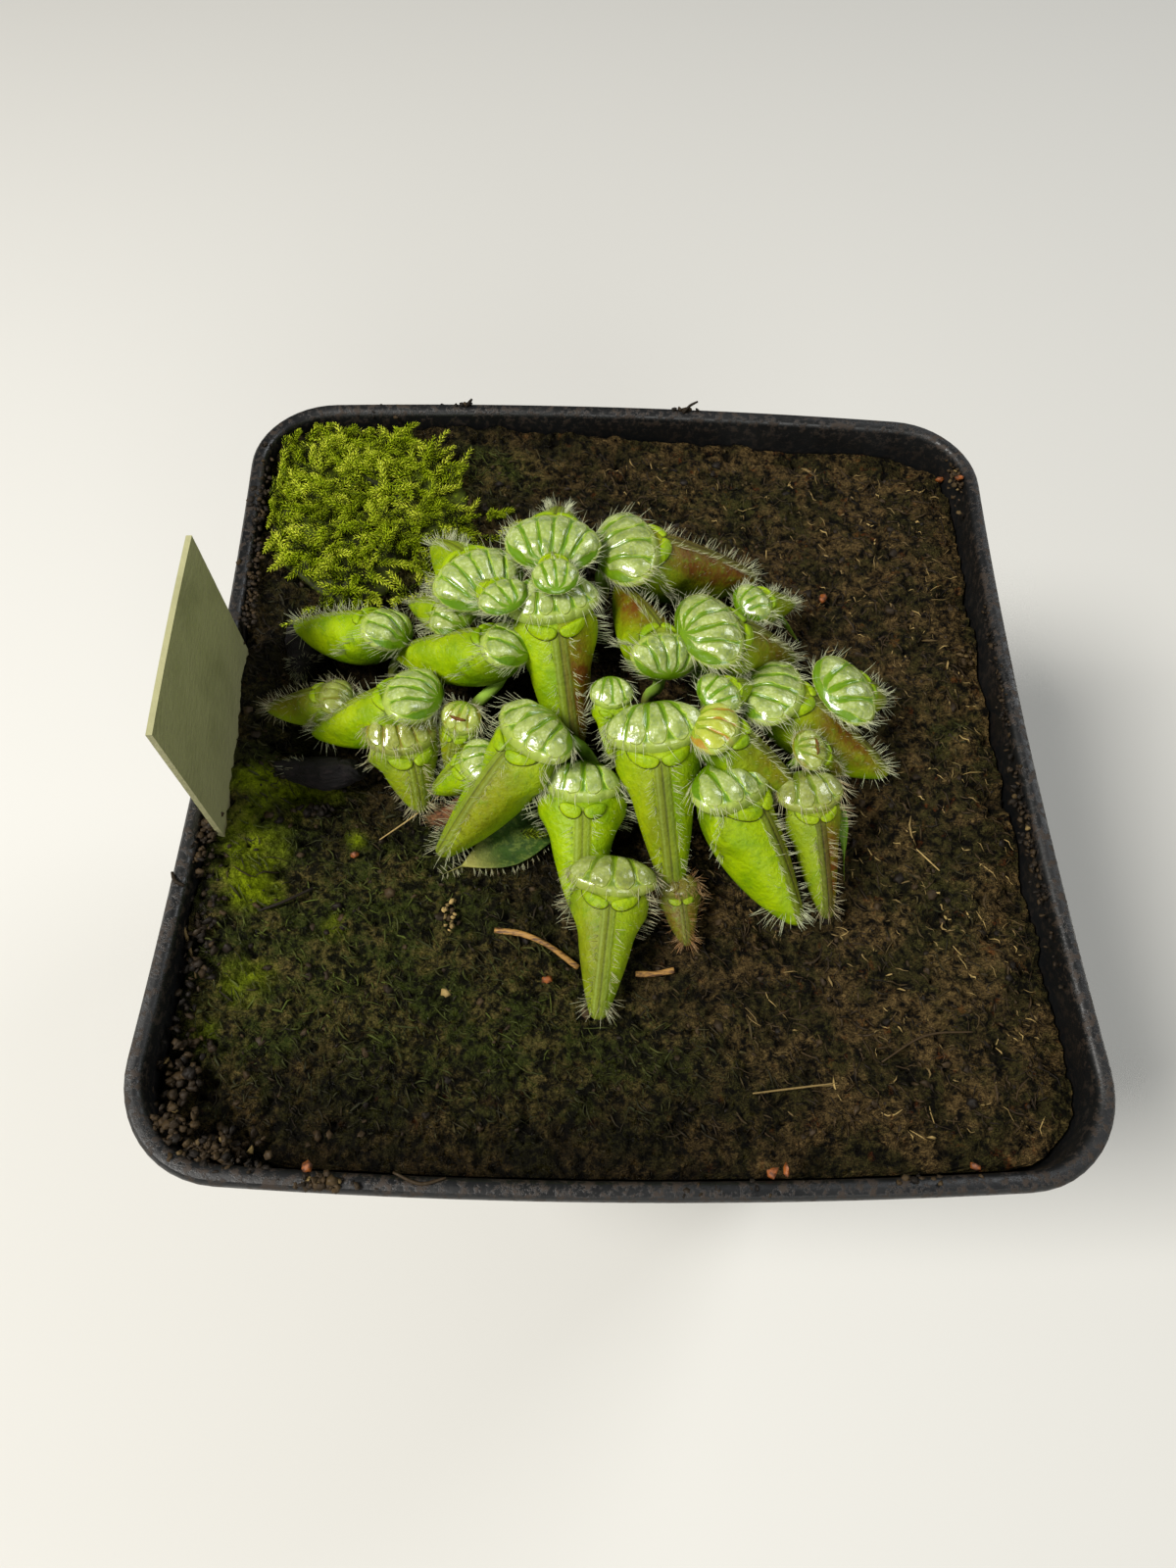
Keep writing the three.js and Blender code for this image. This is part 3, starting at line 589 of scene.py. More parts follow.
class Graph:
    """The node tree of one material."""

    def __init__(self, name: str) -> None:
        """Starts an empty material.

        Args:
            name: the material's name.
        """
        self.material = bpy.data.materials.new(name)
        self.material.use_nodes = True
        self.tree = self.material.node_tree
        self.tree.nodes.clear()

    def node(self, kind: str, settings: Mapping[str, Any], values: Mapping[Any, Any]) -> bpy.types.Node:
        """Makes one node.

        Args:
            kind: Blender's name for the node's type.
            settings: its own settings, which are set first.
            values: what its sockets get, by name or number: a link or a plain value.

        Returns:
            The node.
        """
        node = self.tree.nodes.new(kind)
        for key, setting in settings.items():
            setattr(node, key, setting)
        for key, value in values.items():
            socket = node.inputs[key]
            if isinstance(value, Signal):
                self.tree.links.new(value.output, socket)
            elif isinstance(value, bpy.types.NodeSocket):
                self.tree.links.new(value, socket)
            elif socket.type == "RGBA":
                socket.default_value = (*value, 1.0)
            else:
                socket.default_value = value
        return node

    def math(self, operation: Operation, first: Value, second: Value) -> Signal:
        """One Math node on two numbers."""
        made = self.node("ShaderNodeMath", {"operation": operation.value}, {0: first, 1: second})
        return Signal(self, made.outputs[0])

    def mask(self, name: str) -> Signal:
        """A number that the mesh carries on its points."""
        return Signal(self, self.node("ShaderNodeAttribute", {"attribute_name": name}, {}).outputs["Fac"])

    def pattern(self, kind: str, output: str, pitch: float, stretch: Colour = EVEN, turn: float = 0.0,
                **values: float) -> Signal:
        """A pattern over the object.

        Args:
            kind: Blender's name for the pattern's node.
            output: the socket that it is read from.
            pitch: size of its lumps in millimetres.
            stretch: how many times as fast it runs along each axis.
            turn: its turn about the upright in degrees.
            values: the node's other sockets.

        Returns:
            The pattern.
        """
        places = self.node("ShaderNodeTexCoord", {}, {}).outputs["Object"]
        mapped = self.node("ShaderNodeMapping", {}, {
            "Vector": places, "Scale": stretch, "Rotation": (0.0, 0.0, math.radians(turn))})
        made = self.node(kind, {}, {"Vector": mapped.outputs["Vector"], "Scale": 1 / (pitch * MM), **values})
        return Signal(self, made.outputs[output])

    def noise(self, pitch: float, detail: float = 4.0, roughness: float = 0.55,
              stretch: Colour = EVEN) -> Signal:
        """Cloudy noise from 0 to 1, with lumps of about a pitch in millimetres."""
        return self.pattern("ShaderNodeTexNoise", "Fac", pitch, stretch, Detail=detail, Roughness=roughness)

    def fibres(self, pitch: float, turn: float, thin: float) -> Signal:
        """Wandering thin lines, 1 on a line and 0 between.

        Args:
            pitch: spacing in millimetres.
            turn: their heading about the upright in degrees.
            thin: half the share of the pattern's range that a line takes.

        Returns:
            The lines.
        """
        cloud = self.pattern("ShaderNodeTexNoise", "Fac", pitch, (0.3, 1.0, 1.0), turn,
                             Detail=3.0, Roughness=0.6, Distortion=1.3)
        return 1 - abs(cloud - 0.5).step(thin * 0.3, thin)

    def crumbs(self, pitch: float) -> Signal:
        """Distance inside scattered cells of about a pitch in millimetres."""
        return self.pattern("ShaderNodeTexVoronoi", "Distance", pitch)

    def mix(self, first: Tint, second: Tint, share: Value) -> bpy.types.NodeSocket:
        """A colour between two colours."""
        made = self.node("ShaderNodeMix", {"data_type": "RGBA"}, {0: share, 6: first, 7: second})
        return made.outputs[2]

    def bump(self, height: Signal, depth: float) -> bpy.types.NodeSocket:
        """A normal from a height, with the relief's depth in millimetres."""
        return self.node("ShaderNodeBump", {}, {"Height": height, "Distance": depth * MM}).outputs["Normal"]

    def finish(self, **values: Any) -> bpy.types.Material:
        """Closes the material with the main shader.

        Args:
            values: the shader's sockets, with _ for a space in their names.

        Returns:
            The material.
        """
        sockets = {key.replace("_", " "): value for key, value in values.items()}
        shader = self.node("ShaderNodeBsdfPrincipled", {}, sockets)
        self.node("ShaderNodeOutputMaterial", {}, {"Surface": shader.outputs["BSDF"]})
        return self.material


# Finishes


@dataclass(frozen=True)
class JugFinish:
    """Waxy green jug tissue with a red-brown blush and a double-edged keel."""

    fresh: Colour = srgb(146, 172, 0)
    deep: Colour = srgb(94, 132, 0)
    shade: Colour = srgb(42, 76, 2)
    blush: Colour = srgb(96, 56, 12)
    keel: Colour = srgb(104, 116, 20)
    dark_keel: Colour = srgb(50, 38, 14)
    edge: Colour = srgb(156, 182, 92)
    seam: Colour = srgb(40, 34, 12)
    olive: Colour = srgb(96, 104, 30)
    roughness: float = 0.4
    relief: float = 0.16

    def make(self) -> bpy.types.Material:
        """Builds the material.

        Returns:
            The material.
        """
        graph = Graph("jug_tissue")
        cloud = graph.noise(3.2)
        fine = graph.noise(0.5, 5.0)
        off = graph.mask("off_keel") + (graph.noise(1.1, 3.0) - 0.5) * 0.3
        dark = graph.mask("dark")
        band = 1 - off.step(0.95, 1.3)
        edge = off.step(0.5, 0.72) * (1 - off.step(0.8, 1.0))
        seam = (1 - off.step(0.04, 0.22)) * (0.35 + 0.9 * fine)
        # Deeper green in random clouds, and on the side facing down as painted shade.
        low = (cloud.step(0.35, 0.72) * 0.75 + graph.mask("under") * 0.4).clamped()
        colour = graph.mix(self.fresh, self.deep, low)
        # Painted shade behind the wing ridges and towards the tip.
        colour = graph.mix(colour, self.shade, graph.mask("shade"))
        colour = graph.mix(colour, self.olive, graph.mask("age") * (0.6 + 0.4 * cloud))
        patchy = (graph.mask("blush") * (0.3 + 1.2 * graph.noise(1.6, 6.0, 0.65))).clamped()
        colour = graph.mix(colour, self.blush, patchy)
        tone = graph.mix(self.keel, self.dark_keel, (dark * (0.6 + 0.7 * fine)).clamped())
        colour = graph.mix(colour, tone, band * 0.7)
        colour = graph.mix(colour, self.edge, edge * (0.3 - 0.25 * dark) * (0.4 + 0.8 * fine))
        colour = graph.mix(colour, self.seam, (seam * (0.45 + 0.55 * dark)).clamped())
        colour = graph.mix(colour, self.olive, fine.step(0.5, 0.72) * (0.18 + 0.4 * graph.mask("age")))
        mottle = graph.noise(1.0, 5.0, 0.7)
        colour = graph.mix(colour, self.deep, mottle.step(0.5, 0.68) * (1 - band) * 0.4)
        height = fine * 0.8 + graph.mask("streak") * 0.12 + cloud * 0.4 + mottle * 0.5
        return graph.finish(
            Base_Color=colour,
            Roughness=self.roughness + 0.2 * (fine - 0.5) + band * 0.16,
            Normal=graph.bump(height, self.relief),
            Subsurface_Weight=0.2, Subsurface_Radius=(0.0014, 0.0012, 0.0002), Subsurface_Scale=1.0,
            Specular_IOR_Level=0.22)


@dataclass(frozen=True)
class LidFinish:
    """Puffed lid: pale windows with thin bright outlines between green ribs that start at the hinge."""

    rib: Colour = srgb(70, 112, 0)
    hinge: Colour = srgb(112, 150, 0)
    outline: Colour = srgb(168, 196, 60)
    window: Colour = srgb(174, 188, 124)
    glassy: Colour = srgb(112, 132, 74)
    net: Colour = srgb(140, 158, 66)
    margin: Colour = srgb(172, 188, 88)
    yellow: Colour = srgb(190, 196, 44)
    red_rib: Colour = srgb(150, 46, 18)
    olive: Colour = srgb(104, 96, 34)
    roughness: float = 0.22
    relief: float = 0.14

    def make(self) -> bpy.types.Material:
        """Builds the material.

        Returns:
            The material.
        """
        graph = Graph("lid_tissue")
        cloud = graph.noise(1.5, 5.0, 0.6)
        cells = graph.crumbs(0.34)
        across = graph.mask("across") + (graph.noise(1.3, 4.0) - 0.5) * 0.7
        reach = graph.mask("reach") + (graph.noise(1.7, 3.0) - 0.5) * 0.1
        fan = graph.mask("fan")
        yellow = graph.mask("yellow")
        sideways = (across / (0.46 + 0.6 * reach)) ** 2
        lengthways = abs((reach - 0.51) * 2.25) ** 5
        rim = sideways + lengthways + 1 - fan
        pane_share = 1 - rim.step(0.74, 0.94)
        line_share = rim.step(0.7, 0.88) * (1 - rim.step(0.92, 1.1))
        pane = graph.mix(self.window, self.glassy, cloud.step(0.42, 0.64))
        pane = graph.mix(pane, self.net, cells.step(0.3, 0.62) * 0.6)
        pane = graph.mix(pane, self.yellow, yellow * 0.6)
        green = graph.mix(self.rib, self.hinge, (graph.noise(0.8) * 0.9 + 0.1 - 0.3 * reach).clamped())
        red = (yellow * across.step(0.72, 0.86) * reach.step(0.35, 0.5)).clamped()
        green = graph.mix(green, self.red_rib, red)
        green = graph.mix(green, self.yellow, yellow * 0.35)
        colour = graph.mix(green, pane, pane_share)
        colour = graph.mix(colour, self.outline, line_share * 0.8)
        colour = graph.mix(colour, self.margin, reach.step(0.88, 0.94) * (0.45 + 0.5 * cloud))
        colour = graph.mix(colour, self.olive, (graph.mask("age") * (0.3 + 0.9 * cloud)).clamped())
        height = pane_share * 0.8 + cells * 0.25 * pane_share + cloud * 0.9 + graph.noise(0.35, 4.0) * 0.2
        return graph.finish(
            Base_Color=colour,
            Roughness=self.roughness + 0.25 * (cloud - 0.5) + 0.12 * (1 - pane_share),
            Normal=graph.bump(height, self.relief),
            Subsurface_Weight=0.2, Subsurface_Radius=(0.0014, 0.0012, 0.0004), Subsurface_Scale=1.0,
            Coat_Weight=0.6, Coat_Roughness=0.1)


@dataclass(frozen=True)
class HairFinish:
    """Fine pale plant hairs, browner on old parts."""

    pale: Colour = srgb(206, 212, 172)
    brown: Colour = srgb(150, 110, 66)
    roughness: float = 0.4

    def make(self) -> bpy.types.Material:
        """Builds the material."""
        graph = Graph("plant_hair")
        colour = graph.mix(self.pale, self.brown, graph.mask("age"))
        return graph.finish(Base_Color=colour, Roughness=self.roughness, Alpha=0.8)


@dataclass(frozen=True)
class PeatFinish:
    """Wet dark peat full of fine fibres, green with algae in places and browner elsewhere."""

    black: Colour = srgb(8, 6, 3)
    brown: Colour = srgb(48, 36, 21)
    tan: Colour = srgb(122, 100, 60)
    olive: Colour = srgb(64, 62, 28)
    rust: Colour = srgb(112, 60, 22)
    algae: Colour = srgb(44, 56, 14)
    film: Colour = srgb(118, 134, 2)
    relief: float = 1.1

    def make(self) -> bpy.types.Material:
        """Builds the material.

        Returns:
            The material.
        """
        graph = Graph("wet_peat")
        cloud = graph.noise(4.5, 7.0, 0.65)
        grit = graph.noise(1.1, 4.0, 0.7)
        crumbs = graph.crumbs(0.6)
        fine = graph.fibres(0.45, 35, 0.11).or_larger(graph.fibres(0.55, 60, 0.09))
        coarse = graph.fibres(0.9, 45, 0.06).or_larger(graph.fibres(0.8, 140, 0.04))
        dry = graph.mask("dry")
        pit = graph.mask("pit")
        browner = (0.2 + 0.85 * dry) * grit.step(0.44, 0.58)
        colour = graph.mix(self.black, self.brown, browner.clamped())
        rusty = graph.noise(1.7, 5.0, 0.7).step(0.58, 0.7) * dry * 0.6
        colour = graph.mix(colour, self.rust, rusty.clamped())
        algae = (graph.mask("algae") * (0.1 + 1.5 * grit.step(0.42, 0.6)) * (0.45 + cloud)).clamped()
        colour = graph.mix(colour, self.algae, algae)
        strands = (fine * 0.6).or_larger(coarse)
        fibre = graph.mix(self.tan, self.olive, cloud.step(0.42, 0.56))
        shown = strands * (0.12 + 0.5 * dry + 0.3 * algae) * grit.step(0.36, 0.56)
        colour = graph.mix(colour, fibre, shown.clamped())
        # Painted shade: the pits are darkened almost to black.
        colour = graph.mix(colour, self.black, pit * 0.95)
        film = (graph.mask("film") * (0.5 + grit)).clamped()
        colour = graph.mix(colour, self.film, film)
        flecks = graph.noise(0.55, 3.0, 0.6).step(0.66, 0.74) * (0.25 + 0.4 * dry)
        colour = graph.mix(colour, self.tan, flecks)
        wet = (graph.noise(0.7, 3.0, 0.6) + (1 - dry) * 0.07).step(0.6, 0.66)
        height = grit * 1.3 + (1 - crumbs) * 0.5 + strands * 0.4
        return graph.finish(
            Base_Color=colour,
            Roughness=0.9 - 0.72 * wet * (1 - film),
            Normal=graph.bump(height, self.relief),
            Specular_IOR_Level=0.09)


@dataclass(frozen=True)
class FibreFinish:
    """Peat fibres and crumbs, from near black to straw brown by piece."""

    dark: Colour = srgb(20, 15, 9)
    brown: Colour = srgb(58, 45, 26)
    straw: Colour = srgb(160, 136, 84)
    green: Colour = srgb(84, 96, 28)
    relief: float = 0.08

    def make(self) -> bpy.types.Material:
        """Builds the material.

        Returns:
            The material.
        """
        graph = Graph("peat_fibre")
        tone = graph.mask("tone")
        colour = graph.mix(self.dark, self.brown, tone.step(0.0, 0.6))
        colour = graph.mix(colour, self.straw, tone.step(0.6, 1.0))
        grain = graph.noise(0.4, 4.0)
        colour = graph.mix(colour, self.green, graph.mask("green") * 0.8)
        return graph.finish(Base_Color=graph.mix(colour, self.dark, grain.step(0.5, 0.8) * 0.5),
                            Roughness=0.4 + 0.5 * grain, Normal=graph.bump(grain, self.relief),
                            Specular_IOR_Level=0.2)


@dataclass(frozen=True)
class MossFinish:
    """Yellow-green moss leaves, brown and dark low down."""

    tip: Colour = srgb(196, 206, 50)
    leaf: Colour = srgb(124, 146, 0)
    # Dark brown-black: old moss low down, and painted shade deep among the shoots.
    low: Colour = srgb(22, 24, 3)

    def make(self) -> bpy.types.Material:
        """Builds the material.

        Returns:
            The material.
        """
        graph = Graph("moss_leaf")
        tone = graph.mask("tone")
        colour = graph.mix(self.low, self.leaf, tone.step(0.0, 0.5))
        colour = graph.mix(colour, self.tip, tone.step(0.45, 1.0))
        grain = graph.noise(0.5)
        colour = graph.mix(colour, self.leaf, grain.step(0.5, 0.8) * 0.5)
        return graph.finish(Base_Color=colour, Roughness=0.55 + 0.2 * grain, Specular_IOR_Level=0.15,
                            Subsurface_Weight=0.15, Subsurface_Radius=(0.0005, 0.0008, 0.0001),
                            Subsurface_Scale=1.0)


@dataclass(frozen=True)
class PlasticFinish:
    """Black moulded plastic with a soft sheen, fine dust and peat smears near the rim."""

    black: Colour = srgb(14, 15, 16)
    dust: Colour = srgb(46, 42, 38)
    smear: Colour = srgb(44, 32, 20)
    roughness: float = 0.34
    relief: float = 0.04

    def make(self) -> bpy.types.Material:
        """Builds the material.

        Returns:
            The material.
        """
        graph = Graph("black_plastic")
        cloud = graph.noise(9.0, 6.0, 0.6)
        speck = graph.noise(0.9, 5.0, 0.7)
        colour = graph.mix(self.black, self.dust, cloud.step(0.5, 0.85) * speck.step(0.45, 0.8) * 0.45)
        smear = (graph.mask("smear") * speck.step(0.48, 0.62)).clamped()
        colour = graph.mix(colour, self.smear, smear * 0.8)
        return graph.finish(
            Base_Color=colour,
            Roughness=self.roughness + 0.22 * cloud.step(0.35, 0.8) + 0.3 * smear,
            Normal=graph.bump(graph.noise(0.35, 3.0) * 0.5 + smear * 0.6, self.relief))


@dataclass(frozen=True)
class CardFinish:
    """Off-white label sheet with a fine leathery grain and a faint stain at its foot."""

    # The off-white sheet is given darker as painted shade.
    sheet: Colour = srgb(160, 158, 116)
    # A darker tone, used in random clouds and as painted shade on the broad faces.
    worn: Colour = srgb(122, 122, 82)
    stain: Colour = srgb(74, 58, 38)
    relief: float = 0.12

    def make(self) -> bpy.types.Material:
        """Builds the material.

        Returns:
            The material.
        """
        graph = Graph("label_card")
        cloud = graph.noise(6.0, 5.0)
        grain = graph.noise(0.7, 5.0, 0.6, (1.0, 0.6, 1.6))
        # Darker in random clouds, and on the two broad faces as painted shade that leaves the edges lighter.
        colour = graph.mix(self.sheet, self.worn, cloud.step(0.4, 0.8) * 0.5 + graph.mask("face") * 0.35)
        foot = (graph.mask("foot") * (0.4 + grain)).clamped()
        colour = graph.mix(colour, self.stain, foot.step(0.45, 0.95))
        return graph.finish(Base_Color=colour, Roughness=0.62 + 0.12 * (cloud - 0.5),
                            Normal=graph.bump(grain, self.relief))


@dataclass(frozen=True)
class StrawFinish:
    """Dry split straw with lengthwise streaks."""

    bright: Colour = srgb(152, 112, 50)
    dark: Colour = srgb(70, 42, 16)
    relief: float = 0.12

    def make(self) -> bpy.types.Material:
        """Builds the material.

        Returns:
            The material.
        """
        graph = Graph("dry_straw")
        streak = graph.noise(0.35, 4.0, 0.6, (0.25, 1.4, 1.4))
        colour = graph.mix(self.dark, self.bright, streak.step(0.38, 0.6))
        return graph.finish(Base_Color=colour, Roughness=0.5 + 0.2 * streak,
                            Normal=graph.bump(streak, self.relief))


@dataclass(frozen=True)
class ChipFinish:
    """Orange-brown chips of bark."""

    orange: Colour = srgb(138, 74, 20)
    brown: Colour = srgb(72, 38, 14)
    relief: float = 0.15

    def make(self) -> bpy.types.Material:
        """Builds the material.

        Returns:
            The material.
        """
        graph = Graph("orange_chip")
        cloud = graph.noise(0.5, 5.0)
        return graph.finish(Base_Color=graph.mix(self.orange, self.brown, cloud.step(0.4, 0.65)),
                            Roughness=0.45 + 0.3 * cloud, Normal=graph.bump(cloud, self.relief))


@dataclass(frozen=True)
class WitheredFinish:
    """Dead jug tissue, purple-black to brown, wrinkled."""

    dark: Colour = srgb(14, 11, 12)
    mid: Colour = srgb(50, 42, 42)
    brown: Colour = srgb(120, 78, 48)
    relief: float = 0.6

    def make(self) -> bpy.types.Material:
        """Builds the material.

        Returns:
            The material.
        """
        graph = Graph("withered_tissue")
        wrinkle = graph.noise(0.7, 6.0, 0.65, (0.5, 1.5, 1.5))
        colour = graph.mix(self.dark, self.mid, wrinkle.step(0.45, 0.75))
        colour = graph.mix(colour, self.brown, graph.mask("brown") * wrinkle.step(0.3, 0.6))
        return graph.finish(Base_Color=colour, Roughness=0.35 + 0.5 * wrinkle,
                            Normal=graph.bump(wrinkle, self.relief), Specular_IOR_Level=0.3)


@dataclass(frozen=True)
class BladeFinish:
    """A flat green leaf with a lighter midrib, yellow-tipped and dark where it is old."""

    green: Colour = srgb(84, 126, 8)
    rib: Colour = srgb(134, 166, 36)
    old: Colour = srgb(34, 56, 18)
    fleck: Colour = srgb(96, 112, 44)
    tip: Colour = srgb(150, 146, 76)
    relief: float = 0.2

    def make(self) -> bpy.types.Material:
        """Builds the material.

        Returns:
            The material.
        """
        graph = Graph("flat_leaf")
        cloud = graph.noise(1.4, 5.0)
        spots = graph.noise(0.7, 5.0, 0.7).step(0.46, 0.62)
        colour = graph.mix(self.green, self.rib, graph.mask("rib") * 0.6)
        colour = graph.mix(colour, self.old, (graph.mask("age") * (0.7 + 0.5 * cloud)).clamped())
        colour = graph.mix(colour, self.fleck, graph.mask("age") * spots * 0.55)
        colour = graph.mix(colour, self.tip, (graph.mask("tip") * (0.5 + cloud)).clamped())
        height = cloud + graph.noise(0.3) * 0.4
        return graph.finish(Base_Color=colour, Roughness=0.4 + 0.2 * cloud + 0.2 * graph.mask("age"),
                            Normal=graph.bump(height, self.relief), Specular_IOR_Level=0.2,
                            Subsurface_Weight=0.15, Subsurface_Radius=(0.0008, 0.001, 0.0002),
                            Subsurface_Scale=1.0)


@dataclass(frozen=True)
class StalkFinish:
    """Stalks: pale green, browner near the ground."""

    green: Colour = srgb(140, 176, 62)
    brown: Colour = srgb(112, 80, 42)
    relief: float = 0.1

    def make(self) -> bpy.types.Material:
        """Builds the material.

        Returns:
            The material.
        """
        graph = Graph("stalk_tissue")
        cloud = graph.noise(1.1, 4.0)
        colour = graph.mix(self.green, self.brown, (graph.mask("low") * (0.4 + cloud)).clamped())
        return graph.finish(Base_Color=colour, Roughness=0.4 + 0.2 * cloud,
                            Normal=graph.bump(cloud, self.relief),
                            Subsurface_Weight=0.15, Subsurface_Radius=(0.0008, 0.001, 0.0003),
                            Subsurface_Scale=1.0)


@dataclass(frozen=True)
class FloorFinish:
    """Plain pale floor."""

    pale: Colour = (0.62, 0.615, 0.585)

    def make(self) -> bpy.types.Material:
        """Builds the material."""
        graph = Graph("pale_floor")
        return graph.finish(Base_Color=self.pale, Roughness=0.9)


@cache
def material(finish: type) -> bpy.types.Material:
    """The material of a finish, made at its first use."""
    return finish().make()


# Sub-assemblies


@dataclass
class Assembly:
    """A sub-assembly: the random numbers and patterns it draws on, and its materials."""

    draws: np.random.Generator
    grain: Grain
    finishes: list[bpy.types.Material] = field(default_factory=list)
    kinds: ClassVar[tuple[type, ...]] = ()

    def dress(self) -> None:
        """Makes the materials, in the order of their numbers on a piece."""
        self.finishes = [material(kind) for kind in self.kinds]

    def build(self) -> None:
        """Makes the pieces."""
        raise NotImplementedError


@dataclass
class Coat:
    """Hairs to be set on a piece: where each starts, where it points and how long it is."""

    draws: np.random.Generator
    sink: float = 0.08
    bend: float = 0.08
    droop: float = 0.05
    taper: tuple[float, float, float] = (1.0, 0.8, 0.35)
    full_length: float = 1.2
    roots: list[Array] = field(default_factory=list)
    ways: list[Array] = field(default_factory=list)
    lengths: list[Array] = field(default_factory=list)

    def grow(self, roots: Array, ways: Array, length: float, spread: float = 0.25) -> None:
        """Adds hairs.

        Args:
            roots: where they start.
            ways: where they point.
            length: their middling length.
            spread: how far they stray from their way.
        """
        roots = np.asarray(roots, float).reshape(-1, 3)
        ways = unit(np.asarray(ways, float).reshape(-1, 3) + spread * self.draws.normal(size=roots.shape))
        self.roots.append(roots)
        self.ways.append(ways)
        self.lengths.append(length * self.draws.uniform(0.6, 1.15, len(roots)))

    def join(self, body: Body, finish: int, radius: float, age: float) -> None:
        """Makes the hairs as thin tapered rods on a piece.

        Args:
            body: the piece.
            finish: number of the hair's material on it.
            radius: thickness at the root.
            age: 0 for pale hairs and 1 for brown ones.
        """
        if not self.roots:
            return
        roots, ways = np.concatenate(self.roots), np.concatenate(self.ways)
        lengths = np.concatenate(self.lengths)[:, None]
        bent = unit(ways + self.bend * self.draws.normal(size=ways.shape) + self.droop * UP)
        middle = roots + ways * lengths * 0.5
        tips = middle + bent * lengths * 0.5
        paths = np.stack([roots - ways * self.sink, middle, tips], axis=1)
        radii = np.array(self.taper) * radius * np.clip(lengths / self.full_length, 0.5, 1)
        ages = np.clip(age + 0.15 * self.draws.normal(size=len(roots)), 0, 1)
        body.rods(paths, radii, 3, finish, age=ages)


# Pitchers


@dataclass(frozen=True)
class JugShape:
    """Proportions that all the jugs share. Sizes are those of a jug of girth 1."""

    mouth: float = 5.6
    tilt: float = math.radians(40)
    belly_back: tuple[float, float] = (-1.9, -8.2)
    belly_front: tuple[float, float] = (0.62, -7.4)
    stops: tuple[float, ...] = (0, 0.12, 0.3, 0.5, 0.75, 0.92, 1)
    widths: tuple[float, ...] = (2.9, 3.05, 3.1, 2.75, 1.95, 1.25, 0.85)
    roundness: float = 0.75
    front_rise: float = 0.4
    tip_depth: float = 1.6
    keel_half: float = 0.65
    keel_share: float = 0.78
    keel_height: float = 0.5
    ripple: float = 0.004
    wing_height: float = 0.9
    wing_end: float = 0.46
    wing_turn: float = 74
    wing_turning: float = 55
    lid_height: float = 1.8
    lid_gap: float = 0.4
    hinge: float = 0.9
    fan: float = math.radians(108)
    rib_spread: float = 0.4
    puff: float = 0.055
    pillow: float = 0.17
    dent: float = 0.1
    stalk: float = 0.75
    stalk_bulge: float = 1.2
    stalk_depth: float = 6.0

    def wing_at(self, s: Array) -> Array:
        """The wings' angle from the keel at shares of the length."""
        return np.radians(self.wing_turn + self.wing_turning * np.minimum(s, self.wing_end))


SHAPE = JugShape()


class Axes(NamedTuple):
    """A jug's own frame: its origin, three directions, and the jug's length along the second."""

    origin: Array
    side: Array
    along: Array
    front: Array
    length: float


def through(x: Array, stops: Sequence[float], values: Sequence[float]) -> Array:
    """A smooth curve through values at stops.

    Args:
        x: where the curve is read.
        stops: places with a known value.
        values: the values there.

    Returns:
        The curve's values at x.
    """
    xs, ys = np.asarray(stops, float), np.asarray(values, float)
    slopes = np.gradient(ys, xs)
    x = np.clip(np.asarray(x, float), xs[0], xs[-1])
    i = np.clip(np.searchsorted(xs, x, side="right") - 1, 0, len(xs) - 2)
    width = xs[i + 1] - xs[i]
    t = (x - xs[i]) / width
    return ((1 + 2 * t) * (1 - t) ** 2 * ys[i] + t * (1 - t) ** 2 * width * slopes[i]
            + t * t * (3 - 2 * t) * ys[i + 1] + t * t * (t - 1) * width * slopes[i + 1])


def curve_through(points: Array, steps: int) -> Array:
    """A smooth path through a few points.

    Args:
        points: the points.
        steps: number of evenly spaced points on the path.

    Returns:
        The path's points.
    """
    points = np.asarray(points, float)
    gaps = np.linalg.norm(np.diff(points, axis=0), axis=1)
    at = np.concatenate([[0], np.cumsum(gaps)])
    where = np.linspace(0, at[-1], steps)
    return np.stack([through(where, at, points[:, axis]) for axis in range(3)], axis=1)


